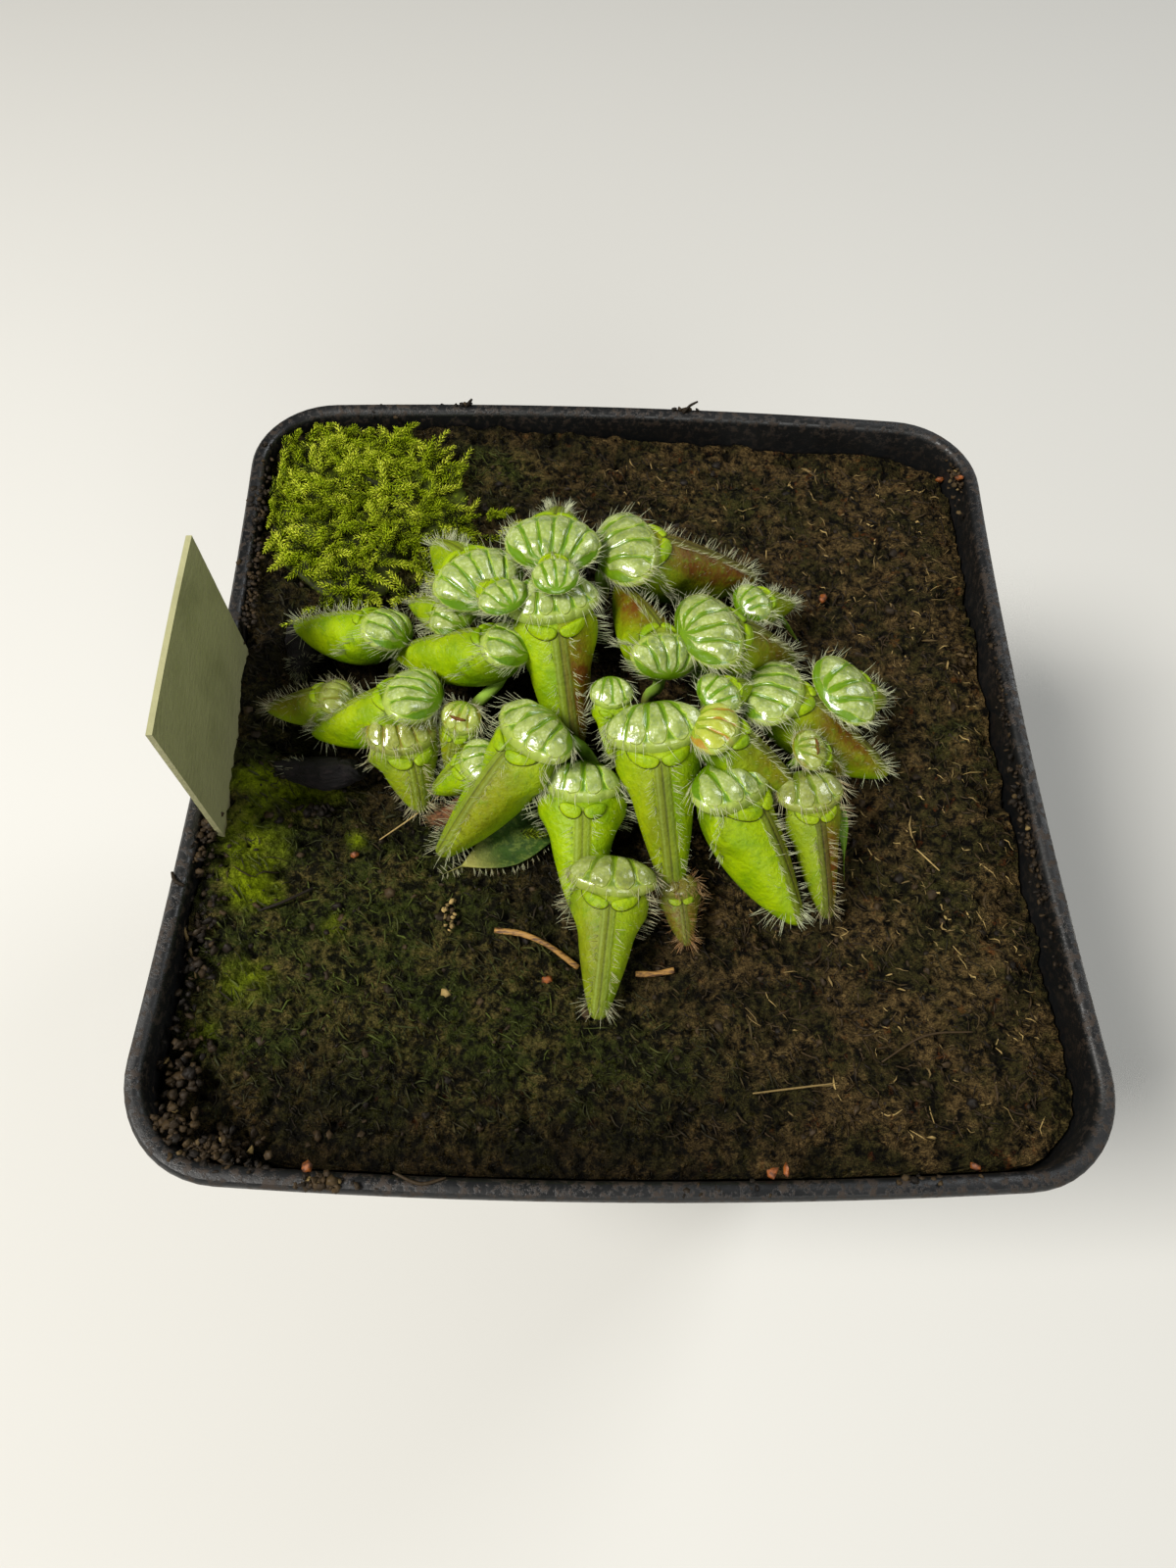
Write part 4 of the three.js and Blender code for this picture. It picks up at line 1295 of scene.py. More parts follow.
@dataclass(frozen=True)
class Jug:
    """One closed pitcher: its place, size and colouring."""

    name: str
    keel: tuple[float, float, float]
    tip: tuple[float, float, float]
    girth: float
    lid: tuple[float, float]
    windows: int
    roll: float
    foot: Optional[tuple[float, float]] = None
    blush: float = 0.0
    blush_side: float = 0.0
    age: float = 0.0
    yellow: float = 0.0
    hairy: float = 1.0
    dark: float = 0.2
    slit: bool = False

    @cached_property
    def axes(self) -> Axes:
        """The jug's own frame.

        Returns:
            Its origin, three directions and length.
        """
        origin = np.array(self.keel, float)
        along = np.array(self.tip, float) - origin
        length = float(np.linalg.norm(along))
        along /= length
        front = UP - along[2] * along
        front /= np.linalg.norm(front)
        front = np.array(Matrix.Rotation(math.radians(self.roll), 3, Vector(along)) @ Vector(front))
        return Axes(origin, np.cross(front, along), along, front, length)

    def at(self, x: Array, y: Array, z: Array) -> Array:
        """Turns places in the jug's frame into those of the pot.

        Args:
            x: sideways.
            y: along.
            z: to the front.

        Returns:
            The points.
        """
        x, y, z = (value[..., None] for value in np.broadcast_arrays(x, y, z))
        return self.axes.origin + x * self.axes.side + y * self.axes.along + z * self.axes.front

    def belly(self, s: Array) -> tuple[Array, Array]:
        """The belly line, from the lid's hinge to the tip.

        Args:
            s: share of the way.

        Returns:
            How far along and how far to the front it lies.
        """
        g, length = self.girth, self.axes.length
        s = np.asarray(s, float)
        hinge = -math.sin(SHAPE.tilt) * SHAPE.mouth * g, -math.cos(SHAPE.tilt) * SHAPE.mouth * g
        back = SHAPE.belly_back[0] * g, SHAPE.belly_back[1] * g
        front = SHAPE.belly_front[0] * length, SHAPE.belly_front[1] * g
        tip = length, -SHAPE.tip_depth * g
        weights = (1 - s) ** 3, 3 * s * (1 - s) ** 2, 3 * s * s * (1 - s), s ** 3
        corners = list(zip(weights, (hinge, back, front, tip)))
        return sum(w * p[0] for w, p in corners), sum(w * p[1] for w, p in corners)

    def half_width(self, s: Array) -> Array:
        """Half the body's width at shares of its length."""
        return through(s, SHAPE.stops, SHAPE.widths) * self.girth

    def skin(self, s: Array, turn: Array) -> tuple[Array, dict[str, Array]]:
        """Points of the body's surface.

        Args:
            s: share of the length from the mouth, 0, to the tip, 1.
            turn: angle round the body from the keel, in radians, positive to one side.

        Returns:
            The points, and the values that the finish reads.
        """
        g, length = self.girth, self.axes.length
        s, turn = np.broadcast_arrays(np.asarray(s, float), np.asarray(turn, float))
        low_y, low_z = self.belly(s)
        high_y, high_z = length * s, SHAPE.front_rise * g * np.sin(math.pi * s)
        half = self.half_width(s)
        cosine = np.cos(turn)
        depth = np.sign(cosine) * np.abs(cosine) ** SHAPE.roundness
        wing = smoothstep(s, 0, 0.12) * (1 - smoothstep(s, 0.3, SHAPE.wing_end))
        off_wing = np.abs(turn) - SHAPE.wing_at(s)
        ridge = wing * (0.55 * bell(off_wing, 0.5) + 0.45 * bell(off_wing, 0.13))
        x = np.sin(turn) * (half + SHAPE.wing_height * g * ridge)
        off_keel = np.abs(x) / np.minimum(SHAPE.keel_half * g, half * SHAPE.keel_share)
        facing = smoothstep(cosine, 0.05, 0.3)
        lips = (0.32 * bell(off_keel - 0.55, 0.5) + 0.1 * bell(off_keel, 0.5)) * smoothstep(s, 0.04, 0.14)
        waves = smoothstep(off_keel, 1.1, 1.6) * np.sin(length * s * 7.5 / g + 0.6 * np.abs(x))
        y = (high_y + low_y) / 2 + (high_y - low_y) / 2 * depth
        z = ((high_z + low_z) / 2 + (high_z - low_z) / 2 * depth
             + facing * lips * SHAPE.keel_height * g * (1 - 0.35 * s) + SHAPE.ripple * g * facing * waves)
        blushing = 0.5 + 0.5 * np.sign(turn) * self.blush_side if self.blush_side else 1.0
        near_keel = bell(off_keel - 1.8, 3.4) * smoothstep(cosine, -0.2, 0.5)
        middle = 0.5 + 0.8 * np.sin(math.pi * np.clip(s, 0, 1))
        stripes = 0.5 + 0.5 * np.sin(length * s * 15 / g)
        at_mouth = 2 * (1 - smoothstep(s, -0.02, 0.06))
        values = {
            "off_keel": np.where(facing > 0.2, np.minimum(off_keel, 3), 3) + at_mouth,
            "blush": np.clip(self.blush * blushing * near_keel * middle, 0, 1),
            # under is painted shade on the side facing down; shade is painted shade behind the wings and
            # towards the tip.
            "under": smoothstep(-cosine, -0.1, 0.7),
            "shade": 0.6 * wing * smoothstep(off_wing, 0.08, 0.3) + 0.25 * smoothstep(s, 0.8, 1.0),
            "age": np.full_like(s, self.age),
            "dark": np.full_like(s, self.dark),
            "streak": facing * smoothstep(off_keel, 1.0, 1.5) * stripes,
        }
        return self.at(x, y, z), values

    def above_skin(self, x: Array, y: Array, lift: Array) -> Array:
        """Points above the front of the body.

        Args:
            x: place sideways.
            y: place along.
            lift: height above the skin.

        Returns:
            The points.
        """
        share = y / self.axes.length
        angle = np.arcsin(np.clip(x / self.half_width(share), -0.97, 0.97))
        skin, _ = self.skin(share, angle)
        lean = 0.8 * angle[..., None]
        outward = np.cos(lean) * self.axes.front + np.sin(lean) * self.axes.side
        return skin + outward * lift[..., None]

    def lid_at(self, x: Array, y: Array, z: Array) -> Array:
        """Turns places in the lid's plane into those of the pot.

        Args:
            x: sideways.
            y: forward, from the lid's middle.
            z: out of the plane.

        Returns:
            The points.
        """
        sine, cosine = math.sin(SHAPE.tilt), math.cos(SHAPE.tilt)
        forward = y - self.lid[1] - SHAPE.lid_gap
        return self.at(x, forward * sine - z * cosine, forward * cosine + z * sine)

    def under_lid(self, turn: Array, share: float, drop: float) -> Array:
        """A ring under the lid.

        Args:
            turn: angles round the lid, 0 at its front.
            share: the ring's size as a share of the lid's.
            drop: how far it lies below the margin, in girths.

        Returns:
            The points.
        """
        x, y = self.lid[0] * share * np.sin(turn), self.lid[1] * share * np.cos(turn)
        return self.lid_at(x, y, -drop * self.girth)

    def dome(self, t: Array, turn: Array) -> tuple[Array, dict[str, Array]]:
        """Points of the lid's upper surface.

        Args:
            t: share of the way from the hinge, 0, to the margin, 1.
            turn: angle round the lid, 0 at its front.

        Returns:
            The points, and the values that the finish reads.
        """
        g = self.girth
        t, turn = np.broadcast_arrays(np.asarray(t, float), np.asarray(turn, float))
        half_width, half_length = self.lid
        hinge = -SHAPE.hinge * half_length
        fanned = np.sin(np.clip(turn / SHAPE.fan, -1, 1) * math.pi / 2)
        share = (fanned + 1) / 2 * self.windows
        inside = smoothstep(SHAPE.fan - np.abs(turn), -0.02, 0.12)
        across = np.abs(2 * (share - np.floor(share)) - 1)
        swell = np.clip(1 - across ** 3, 0, 1) ** 0.8
        grown = smoothstep(t, 0.1, 0.5) * (1 - 0.6 * smoothstep(t, 0.6, 0.95))
        puff = 1 + SHAPE.puff * (-0.6 + 1.6 * swell) * grown * inside
        spread = SHAPE.rib_spread * smoothstep(t, 0, 0.2)
        x = half_width * np.sin(turn) * (spread + (1 - spread) * t)
        y = hinge + (half_length * np.cos(turn) - hinge) * t
        outward = np.clip((x / half_width) ** 2 + (y / half_length) ** 2, 0, 1)
        height = SHAPE.lid_height * g * np.sqrt(1 - outward)
        mid_rib = smoothstep(t, 0.1, 0.35) * (1 - smoothstep(t, 0.55, 0.85))
        pillow = SHAPE.pillow * (swell - 0.35) * mid_rib * inside
        margin = smoothstep(np.cos(turn), 0, 0.5) * (0.06 * bell(t - 0.95, 0.04) - 0.1 * bell(t - 0.87, 0.04))
        waves = np.sin(1.6 * x / g + self.tip[0]) * np.sin(2.1 * y / g + self.tip[1])
        relief = pillow + margin + SHAPE.dent * waves * smoothstep(1 - t, 0.05, 0.3)
        values = {"across": across, "reach": t, "fan": inside, "yellow": np.full_like(t, self.yellow),
                  "age": np.full_like(t, self.age)}
        return self.lid_at(x * puff, y * puff, height * puff + g * relief), values

    def stalk(self) -> Array:
        """The path of the stalk, from inside the jug down into the ground.

        Returns:
            The path's points.
        """
        g = self.girth
        back_y, back_z = self.belly(0.1)
        x, y = self.foot
        ground = float(SOIL.height(x, y))
        start = self.at(0.0, back_y + 1.2 * g, back_z + 1.4 * g)
        entry = np.array([x, y, min(ground + 2, start[2] - 1.5)])
        middle = start + (entry - start) * 0.45 - SHAPE.stalk_bulge * g * self.axes.along
        low = np.array([x, y, ground - SHAPE.stalk_depth])
        return curve_through([start, middle, entry, low], 14)


JUGS: tuple[Jug, ...] = (
    Jug("centre_front", (-7, 5.5, 89.5), (-5, -4.5, 79.5), 1.12, (4.9, 3.1), 6, 0, (-8.5, 12),
        blush=1.0, blush_side=1, age=0.05, dark=0.35),
    Jug("front_left", (-11.5, -6.8, 87), (-18.5, -14.5, 79), 1, (4.7, 2.9), 5, 14, (-3, -4.5),
        blush=0.45, blush_side=1, age=0.15, dark=0.3),
    Jug("front_middle", (3, -8, 88), (5, -18.5, 79), 1.08, (5, 3), 5, 8, (4.5, -1.5),
        blush=0.3, blush_side=-1, age=0.1, dark=0.4),
    Jug("front_low", (-1.5, -20.5, 82.5), (-2.5, -30.5, 78), 0.95, (4.4, 2.6), 4, 0, (2, -16),
        blush=0.3, blush_side=-1, age=0.45, dark=0.2),
    Jug("front_right", (12.6, -12, 86.2), (17.5, -21, 79), 1.05, (5.3, 3.1), 5, -28, (12.5, -10.5),
        blush=0.5, blush_side=1, age=0.05, dark=0.8),
    Jug("right_large", (18.5, 0.5, 86), (28, -4.5, 79.5), 0.95, (5.4, 3.4), 5, -25, (18.5, 0),
        blush=0.8, age=0.1, dark=0.6),
    Jug("right_back_low", (25.5, 3, 84.5), (29, 4.5, 79), 0.75, (4.4, 2.9), 4, 0, (24.5, 5),
        blush=0.3, age=0.1, dark=0.4),
    Jug("right_upper", (11.6, 7, 89), (19, 8.6, 81), 1.05, (5, 3.2), 5, -10, (9.5, 3),
        blush=0.7, age=0.15, dark=0.6),
    Jug("back_right", (3.6, 17.8, 89), (15, 18.8, 82), 1.08, (5.8, 3.4), 5, -15, (-2, 19),
        blush=1.3, age=0.2, dark=0.7),
    Jug("back_middle", (-7.5, 19, 90.5), (-7, 29, 80.5), 1, (5, 3.4), 6, 0, (-5, 17.5), blush=0.2),
    Jug("back_left", (-17, 15.5, 88.5), (-21.5, 24, 80), 0.98, (5, 3.4), 6, 0, (-16, 14.5), blush=0.1),
    Jug("left_upper", (-14.5, 6.5, 87.5), (-24.5, 8, 81.5), 0.88, (4, 2.6), 4, 32, (-16, 2.5),
        blush=0.1, dark=0.25),
    Jug("left_lower", (-24.5, 0.5, 85.5), (-32.5, -1, 79.5), 0.88, (4.6, 2.9), 5, 32, (-22, -1.5),
        blush=0.15, dark=0.3),
    Jug("left_outer", (-27.3, 10.4, 84.5), (-36, 12.5, 79.5), 0.85, (3.4, 2.6), 4, 32, (-25, 7.5), dark=0.15),
    Jug("centre_right", (3.4, 5.6, 89.5), (-0.4, 14, 86), 0.85, (3.9, 2.4), 5, 20, (3, 4.5),
        blush=0.9, age=0.1, dark=0.4),
    Jug("right_middle", (11, -5.8, 89), (17.5, -9, 83.5), 0.78, (3.5, 2.4), 4, -20, (11.5, -4.5),
        blush=0.5, age=0.1, yellow=0.9, dark=0.7),
    Jug("right_front_low", (18.6, -12.5, 84.8), (20.3, -20.5, 78.5), 0.72, (3.4, 2.6), 4, 0, (15.5, -8),
        blush=0.8, blush_side=1, age=0.6, dark=1.0),
    Jug("front_under", (-4.2, -11.5, 84), (-4.2, -20.5, 78.3), 1.12, (3.8, 2.4), 4, 0, (-5, -8.5), dark=0.05),
    Jug("left_round", (-21.2, -6.2, 83.2), (-20.4, -10, 79), 0.95, (3.7, 2.9), 5, -15, (-21, -5.5),
        blush=0.2, age=0.5, yellow=0.4, hairy=1.5),
    Jug("left_small", (-32, 2.2, 82), (-37.8, 1.9, 79), 0.62, (2.6, 1.9), 4, 20, (-28, 4),
        blush=0.5, age=0.5, yellow=0.3, dark=0.4, hairy=1.4),
    Jug("back_small_left", (-19.5, 11, 86), (-23.5, 15, 80.5), 0.62, (3, 2), 4, 0, (-19, 12.5), age=0.2),
    Jug("centre_top", (-7.6, 12, 92.5), (-8, 15.5, 89), 0.48, (2.4, 2.1), 4, 0, (-5, 14)),
    Jug("centre_left_top", (-13.8, 9.8, 91), (-16, 13, 86.5), 0.5, (2.7, 2), 4, 0, (-13, 13)),
    Jug("right_tiny", (16, 14.5, 84), (20, 17, 79.5), 0.6, (2.6, 1.9), 4, 0, (12.5, 13), blush=0.3, hairy=1.4),
    Jug("left_bud", (-17.2, -4.3, 84), (-17.9, -6.5, 80), 0.55, (2.2, 1.8), 4, 0, (-15.5, -2),
        blush=0.4, age=0.2, yellow=0.4, hairy=2.2, slit=True),
    Jug("left_inner", (-16.8, -7.2, 83.6), (-19.6, -8.2, 80), 0.6, (2.7, 2.1), 4, 10, (-15, -5.5), age=0.1),
    Jug("centre_small", (-1.4, -3.1, 87.5), (-1.2, -6.2, 84), 0.52, (2.2, 1.9), 4, 0, (-1.5, -3.5)),
    Jug("right_small", (10.8, 0.3, 88.2), (14.2, 2.8, 84), 0.48, (2.6, 1.9), 4, 0, (8.5, 0.5)),
    Jug("right_bud", (20.2, -5.8, 85.3), (22.7, -5.8, 81), 0.45, (2.3, 1.8), 4, 0, (16.5, -5.5),
        blush=0.6, age=0.3, yellow=0.3, hairy=2.2, slit=True),
    Jug("front_under_small", (5.6, -19.4, 79.8), (6.2, -23.4, 78.2), 0.55, (2.1, 1.6), 4, 0, (5, -17),
        blush=0.5, age=1.2, yellow=0.1, dark=0.6, hairy=2.6),
)


class Tissue(IntEnum):
    """The finishes of a pitcher, by their number on its piece."""

    JUG = 0
    LID = 1
    STALK = 2
    HAIR = 3


Values = dict[str, Union[Array, float]]


def repeat_last(points: Array, values: Values, extra: Sequence[Array]) -> tuple[Array, Values]:
    """Goes on from a grid's last row.

    Args:
        points: the grid's points.
        values: its named numbers, by row and column.
        extra: rows of points to add.

    Returns:
        The longer grid, and its numbers, which stay those of the last row.
    """
    longer = {name: np.concatenate([row] + [row[-1:]] * len(extra)) for name, row in values.items()}
    return np.concatenate([points, np.stack(extra)]), longer


@dataclass
class PitcherPlant(Assembly):
    """All the closed pitchers, each with its lid, stalk and hairs."""

    kinds = (JugFinish, LidFinish, StalkFinish, HairFinish)
    jugs: tuple[Jug, ...] = JUGS
    small: float = 0.65
    young: float = 0.7
    rows: int = 36
    keel_columns: int = 9
    side_columns: int = 22
    small_side_columns: int = 12
    lid_rows: int = 22
    small_lid_rows: int = 13
    lid_columns: int = 14
    small_lid_columns: int = 8
    back_columns: int = 12
    lid_under: tuple[tuple[float, float], ...] = ((0.93, 0.42), (0.86, 0.8))
    lobe_place: float = 0.42
    lobe_width: float = 0.3
    lobe_length: float = 0.85
    lobe_lift: float = 0.42
    gap_shadow_radius: float = 0.035
    hair_radius: float = 0.026
    lid_hair: float = 1.7
    keel_hair: float = 1.3
    wing_hair: float = 1.6
    flank_hair: float = 0.5
    tip_hair: float = 1.6
    wool_hair: float = 0.9
    keel_gap: float = 0.27
    wing_gap: float = 0.32
    flank_gap: float = 0.4

    def turns(self, jug: Jug) -> Array:
        """Angles round a body, close together over the keel.

        Args:
            jug: the pitcher.

        Returns:
            The angles, from the keel round one side and back round the other.
        """
        width = 1.35 * SHAPE.keel_half / SHAPE.widths[2]
        near = np.arcsin(np.linspace(0, width, self.keel_columns))
        columns = self.side_columns if jug.girth > self.small else self.small_side_columns
        half = np.concatenate([near, np.linspace(near[-1], math.pi, columns + 1)[1:]])
        return np.concatenate([half, -half[-2:0:-1]])

    def jug(self, body: Body, jug: Jug) -> None:
        """Adds a pitcher's jug, with its rounded tip.

        Args:
            body: the piece.
            jug: the pitcher.
        """
        rows = self.rows if jug.girth > self.small else self.rows // 2 + 4
        s = np.linspace(0, 1, rows) ** 1.05
        points, values = jug.skin(s[:, None], self.turns(jug)[None, :])
        ahead = jug.axes.along * jug.girth
        end = points[-1].mean(axis=0) + ahead * 0.55
        last = points[-1] + (end - points[-1]) * 0.45 + ahead * 0.12
        points, values = repeat_last(points, values, [last])
        body.grid(points, Tissue.JUG, flip=True, **values)

    def lid(self, body: Body, jug: Jug) -> None:
        """Adds a pitcher's lid with its turned-under margin.

        Args:
            body: the piece.
            jug: the pitcher.
        """
        fine = jug.girth > self.small
        ribs = np.linspace(-1, 1, jug.windows * (self.lid_columns if fine else self.small_lid_columns) + 1)
        front = np.arcsin(ribs) / (math.pi / 2) * SHAPE.fan
        back = np.linspace(SHAPE.fan, math.tau - SHAPE.fan, self.back_columns)[1:-1]
        turn = np.concatenate([front, np.where(back > math.pi, back - math.tau, back)])
        t = np.linspace(0.04, 1, self.lid_rows if fine else self.small_lid_rows)
        points, values = jug.dome(t[:, None], turn[None, :])
        points, values = repeat_last(points, values, [jug.under_lid(turn, *ring) for ring in self.lid_under])
        body.grid(points, Tissue.LID, flip=True, **values)

    def mouth(self, body: Body, jug: Jug) -> None:
        """Adds the two small lobes under the front of the lid, and round each a dark rod as painted shadow in
        the gap beneath it.

        Args:
            body: the piece.
            jug: the pitcher.
        """
        g = jug.girth
        share, turn = np.meshgrid(np.linspace(0.06, 1, 9), around(24), indexing="ij")
        plain = dict.fromkeys(("blush", "under", "shade", "dark", "streak"), 0)
        plain.update(off_keel=3, age=0.4 * jug.age)
        painted_gap_shadow = {**plain, "off_keel": 0, "dark": 1, "blush": 1}
        wide, long = self.lobe_width * jug.lid[0], self.lobe_length * g
        for side in (-1, 1):
            middle_x, middle_y = side * (wide + 0.03 * g), self.lobe_place * g
            x = middle_x + wide * share * np.cos(turn)
            y = middle_y + long * np.where(np.sin(turn) > 0, 1.0, 0.6) * share * np.sin(turn)
            lift = self.lobe_lift * g * (np.sqrt(np.maximum(1 - share ** 2, 0)) ** 0.7 - 0.2)
            body.grid(jug.above_skin(x, y, lift), Tissue.JUG, **plain)
            # Painted shadow: a thin dark rod along each lobe's edge, in the gap under the lobe.
            arc = np.linspace(0.03, 0.97, 19) * math.pi
            line = jug.above_skin(middle_x + 0.98 * wide * np.cos(arc), middle_y + 0.98 * long * np.sin(arc),
                                  np.full_like(arc, 0.02))
            body.rods(line[None], np.full_like(arc, self.gap_shadow_radius * g), 5, Tissue.JUG, **painted_gap_shadow)
        if jug.slit:
            slit, _ = jug.dome(0.62, np.linspace(-0.5, 0.5, 9))
            red = {**plain, "blush": 1.6, "shade": 0.6}
            body.rods(slit[None], np.sin(np.linspace(0.4, 2.74, 9)) * 0.2, 6, Tissue.JUG, **red)

    def stem(self, body: Body, jug: Jug) -> None:
        """Adds a pitcher's stalk.

        Args:
            body: the piece.
            jug: the pitcher.
        """
        path = jug.stalk()
        radius = SHAPE.stalk * max(jug.girth, 0.7)
        _, across, above = directions(path, jug.axes.front)
        turn = around(10)
        rings = swept(path, across, above, radius * np.cos(turn), radius * np.sin(turn))
        low = 1 - smoothstep(path[:, 2] - SOIL.level, 0, 6)
        body.grid(rings, Tissue.STALK, flip=True, low=low[:, None])

    def lid_hairs(self, coat: Coat, jug: Jug) -> None:
        """Sets hairs round the lid's margin, fewer at its front.

        Args:
            coat: takes the hairs.
            jug: the pitcher.
        """
        draws = coat.draws
        count = int(120 * (jug.lid[0] + jug.lid[1]) / 8 * jug.hairy ** 0.5)
        turn = draws.uniform(-3.0, 3.0, count)
        turn = turn[(np.abs(turn) > 0.9) | (draws.uniform(0, 1, count) < 0.4)]
        t = draws.uniform(0.9, 1.0, len(turn))
        roots, _ = jug.dome(t, turn)
        inner, _ = jug.dome(t * 0.85, turn)
        up = jug.lid_at(0.0, 0.0, 1.0) - jug.lid_at(0.0, 0.0, 0.0)
        out = unit(roots - inner) * 0.9 + up * draws.uniform(-0.5, 0.7, (len(turn), 1))
        coat.grow(roots, out, self.lid_hair * min(1, jug.girth + 0.3), 0.14)

    def side_hairs(self, coat: Coat, jug: Jug, edge: int) -> None:
        """Sets hairs along the keel's edge, the wing and the flank of one side.

        Args:
            coat: takes the hairs.
            jug: the pitcher.
            edge: -1 for the one side and 1 for the other.
        """
        draws, length = coat.draws, jug.axes.length
        outward, along, front = edge * jug.axes.side, jug.axes.along, jug.axes.front
        scale = min(1, jug.girth + 0.2)
        count = int(length / self.keel_gap)
        s = draws.uniform(0.05, 1.0, count)
        half = jug.half_width(s)
        keel = np.minimum(jug.girth, half * SHAPE.keel_share)
        roots, _ = jug.skin(s, edge * np.arcsin(np.clip(0.85 * keel / half, 0, 1)))
        way = front * 0.75 + outward * draws.uniform(0.1, 1.0, (count, 1)) + along * 0.25
        coat.grow(roots, way, self.keel_hair * scale, 0.16)
        count = int(length / self.wing_gap)
        s = draws.uniform(0.06, SHAPE.wing_end + 0.04, count)
        roots, _ = jug.skin(s, edge * SHAPE.wing_at(s) + draws.normal(0, 0.04, count))
        coat.grow(roots, outward + front * 0.3 + along * 0.2, self.wing_hair * scale, 0.14)
        count = int(length / self.flank_gap)
        s = draws.uniform(0.06, 0.98, count)
        roots, _ = jug.skin(s, edge * draws.uniform(0.3, 1.1, count))
        coat.grow(roots, outward * 0.6 + front, self.flank_hair * scale, 0.12)

    def tip_hairs(self, coat: Coat, jug: Jug) -> None:
        """Sets hairs all round the tip.

        Args:
            coat: takes the hairs.
            jug: the pitcher.
        """
        draws, g, length = coat.draws, jug.girth, jug.axes.length
        count = int(50 * g * jug.hairy)
        s = draws.uniform(0.86, 1.0, count)
        roots, _ = jug.skin(s, draws.uniform(-math.pi, math.pi, count))
        centre = jug.at(0.0, length * 0.9, -SHAPE.tip_depth * g * 0.5)
        coat.grow(roots, unit(roots - centre) + jug.axes.along * 0.5, self.tip_hair * min(1, g + 0.25), 0.16)

    def wool(self, coat: Coat, jug: Jug) -> None:
        """Sets short hairs all over a young jug and its lid.

        Args:
            coat: takes the hairs.
            jug: the pitcher.
        """
        draws, g = coat.draws, jug.girth
        count = int(90 * g * jug.hairy)
        roots, _ = jug.skin(draws.uniform(0.02, 1, count), draws.uniform(-2.2, 2.2, count))
        coat.grow(roots, roots - jug.at(0.0, jug.axes.length * 0.5, -1.5 * g), self.wool_hair, 0.3)
        roots, _ = jug.dome(draws.uniform(0.1, 1, count // 2), draws.uniform(-2.6, 2.6, count // 2))
        coat.grow(roots, roots - jug.lid_at(0.0, 0.0, -1.0), self.wool_hair, 0.3)

    def hairs(self, body: Body, jug: Jug) -> None:
        """Sets all of a pitcher's hairs.

        Args:
            body: the piece.
            jug: the pitcher.
        """
        coat = Coat(self.draws)
        self.lid_hairs(coat, jug)
        for edge in (-1, 1):
            self.side_hairs(coat, jug, edge)
        self.tip_hairs(coat, jug)
        if jug.hairy > 1:
            self.wool(coat, jug)
        coat.join(body, Tissue.HAIR, self.hair_radius, min(1.0, jug.age * 0.8))

    def build(self) -> None:
        """Makes every pitcher."""
        for jug in self.jugs:
            body = Body()
            for add in (self.jug, self.lid, self.mouth, self.stem, self.hairs):
                add(body, jug)
            slot = Slot.PITCHER if jug.girth > self.young else Slot.YOUNG_PITCHER
            place(body.build(f"jug_{jug.name}", self.finishes), slot, f"pitcher_{jug.name}")


WITHERED: tuple[Jug, ...] = (
    Jug("withered_left", (-36, 11, 79), (-35.2, 5.8, 78), 0.55, (1.8, 1.4), 4, 20, hairy=1.6),
    Jug("withered_front", (-29.5, -4, 78.8), (-36.5, -4, 77.4), 0.5, (2, 1.5), 4, 60, hairy=0.4),
    Jug("withered_bud", (-16.4, -9.8, 79.8), (-19.8, -10.8, 78.4), 0.45, (1.9, 1.4), 4, 0, age=1.0, hairy=1.6),
)


@dataclass
class DeadPitchers(Assembly):
    """The withered pitchers that lie on the soil."""

    kinds = (WitheredFinish, HairFinish)
    jugs: tuple[Jug, ...] = WITHERED
    crumple: float = 0.22
    lid_under: tuple[float, float] = (0.9, 0.5)
    hair_radius: float = 0.03

    def build(self) -> None:
        """Makes them."""
        for jug in self.jugs:
            body = Body()
            points, _ = jug.skin(np.linspace(0, 1, 30)[:, None], around(40) - math.pi)
            body.grid(self.crumpled(points), flip=True, brown=jug.age)
            turn = around(36) - math.pi
            lid, _ = jug.dome(np.linspace(0.05, 1, 10)[:, None], turn)
            lid = np.concatenate([lid, jug.under_lid(turn, *self.lid_under)[None]])
            body.grid(self.crumpled(lid), flip=True, brown=jug.age)
            coat = Coat(self.draws)
            count = int(90 * jug.hairy)
            roots, _ = jug.skin(self.draws.uniform(0.5, 1, count), self.draws.uniform(-2.0, 2.0, count))
            coat.grow(roots, roots - jug.at(0.0, jug.axes.length * 0.5, -1.0), 0.8, 0.3)
            coat.join(body, 1, self.hair_radius, 0.25 + 0.6 * jug.age)
            place(body.build(f"dead_{jug.name}", self.finishes), Slot.WITHERED, jug.name)

    def crumpled(self, points: Array) -> Array:
        """Wrinkles a net of points.

        Args:
            points: the net.

        Returns:
            The points, moved in and out.
        """
        centre = points.mean(axis=(0, 1))
        wrinkle = self.grain.rough(points[..., 0] + points[..., 2], points[..., 1] * 1.7, 0.9, 3) - 0.5
        return points + unit(points - centre) * (wrinkle * 2 * self.crumple)[..., None]


# Flat leaves and straw


@dataclass(frozen=True)
class Blade:
    """A narrow flat leaf along a curve."""

    name: str
    points: tuple[tuple[float, float, float], ...]
    half_width: float
    tilt: float
    age: float
    slot: Slot
    thickness: float = 0.35


BLADES = (
    Blade("leaf_right", ((13.5, 10, 72), (14, 10.5, 79), (16.5, 14, 81.5), (20.5, 12.5, 77.8)), 1.1, 0, 0.15,
          Slot.LEAF),
    Blade("leaf_front_right", ((18.5, -8, 72), (19, -8.5, 79), (21, -10.5, 82), (22.6, -16.5, 77.2)), 0.95,
          20, 0.1, Slot.LEAF),
    Blade("leaf_old", ((-8, -10, 72), (-8.5, -10.5, 77), (-12.5, -13.5, 77.4), (-18, -16.2, 77.2)), 2.7, 0, 1,
          Slot.WITHERED),
)


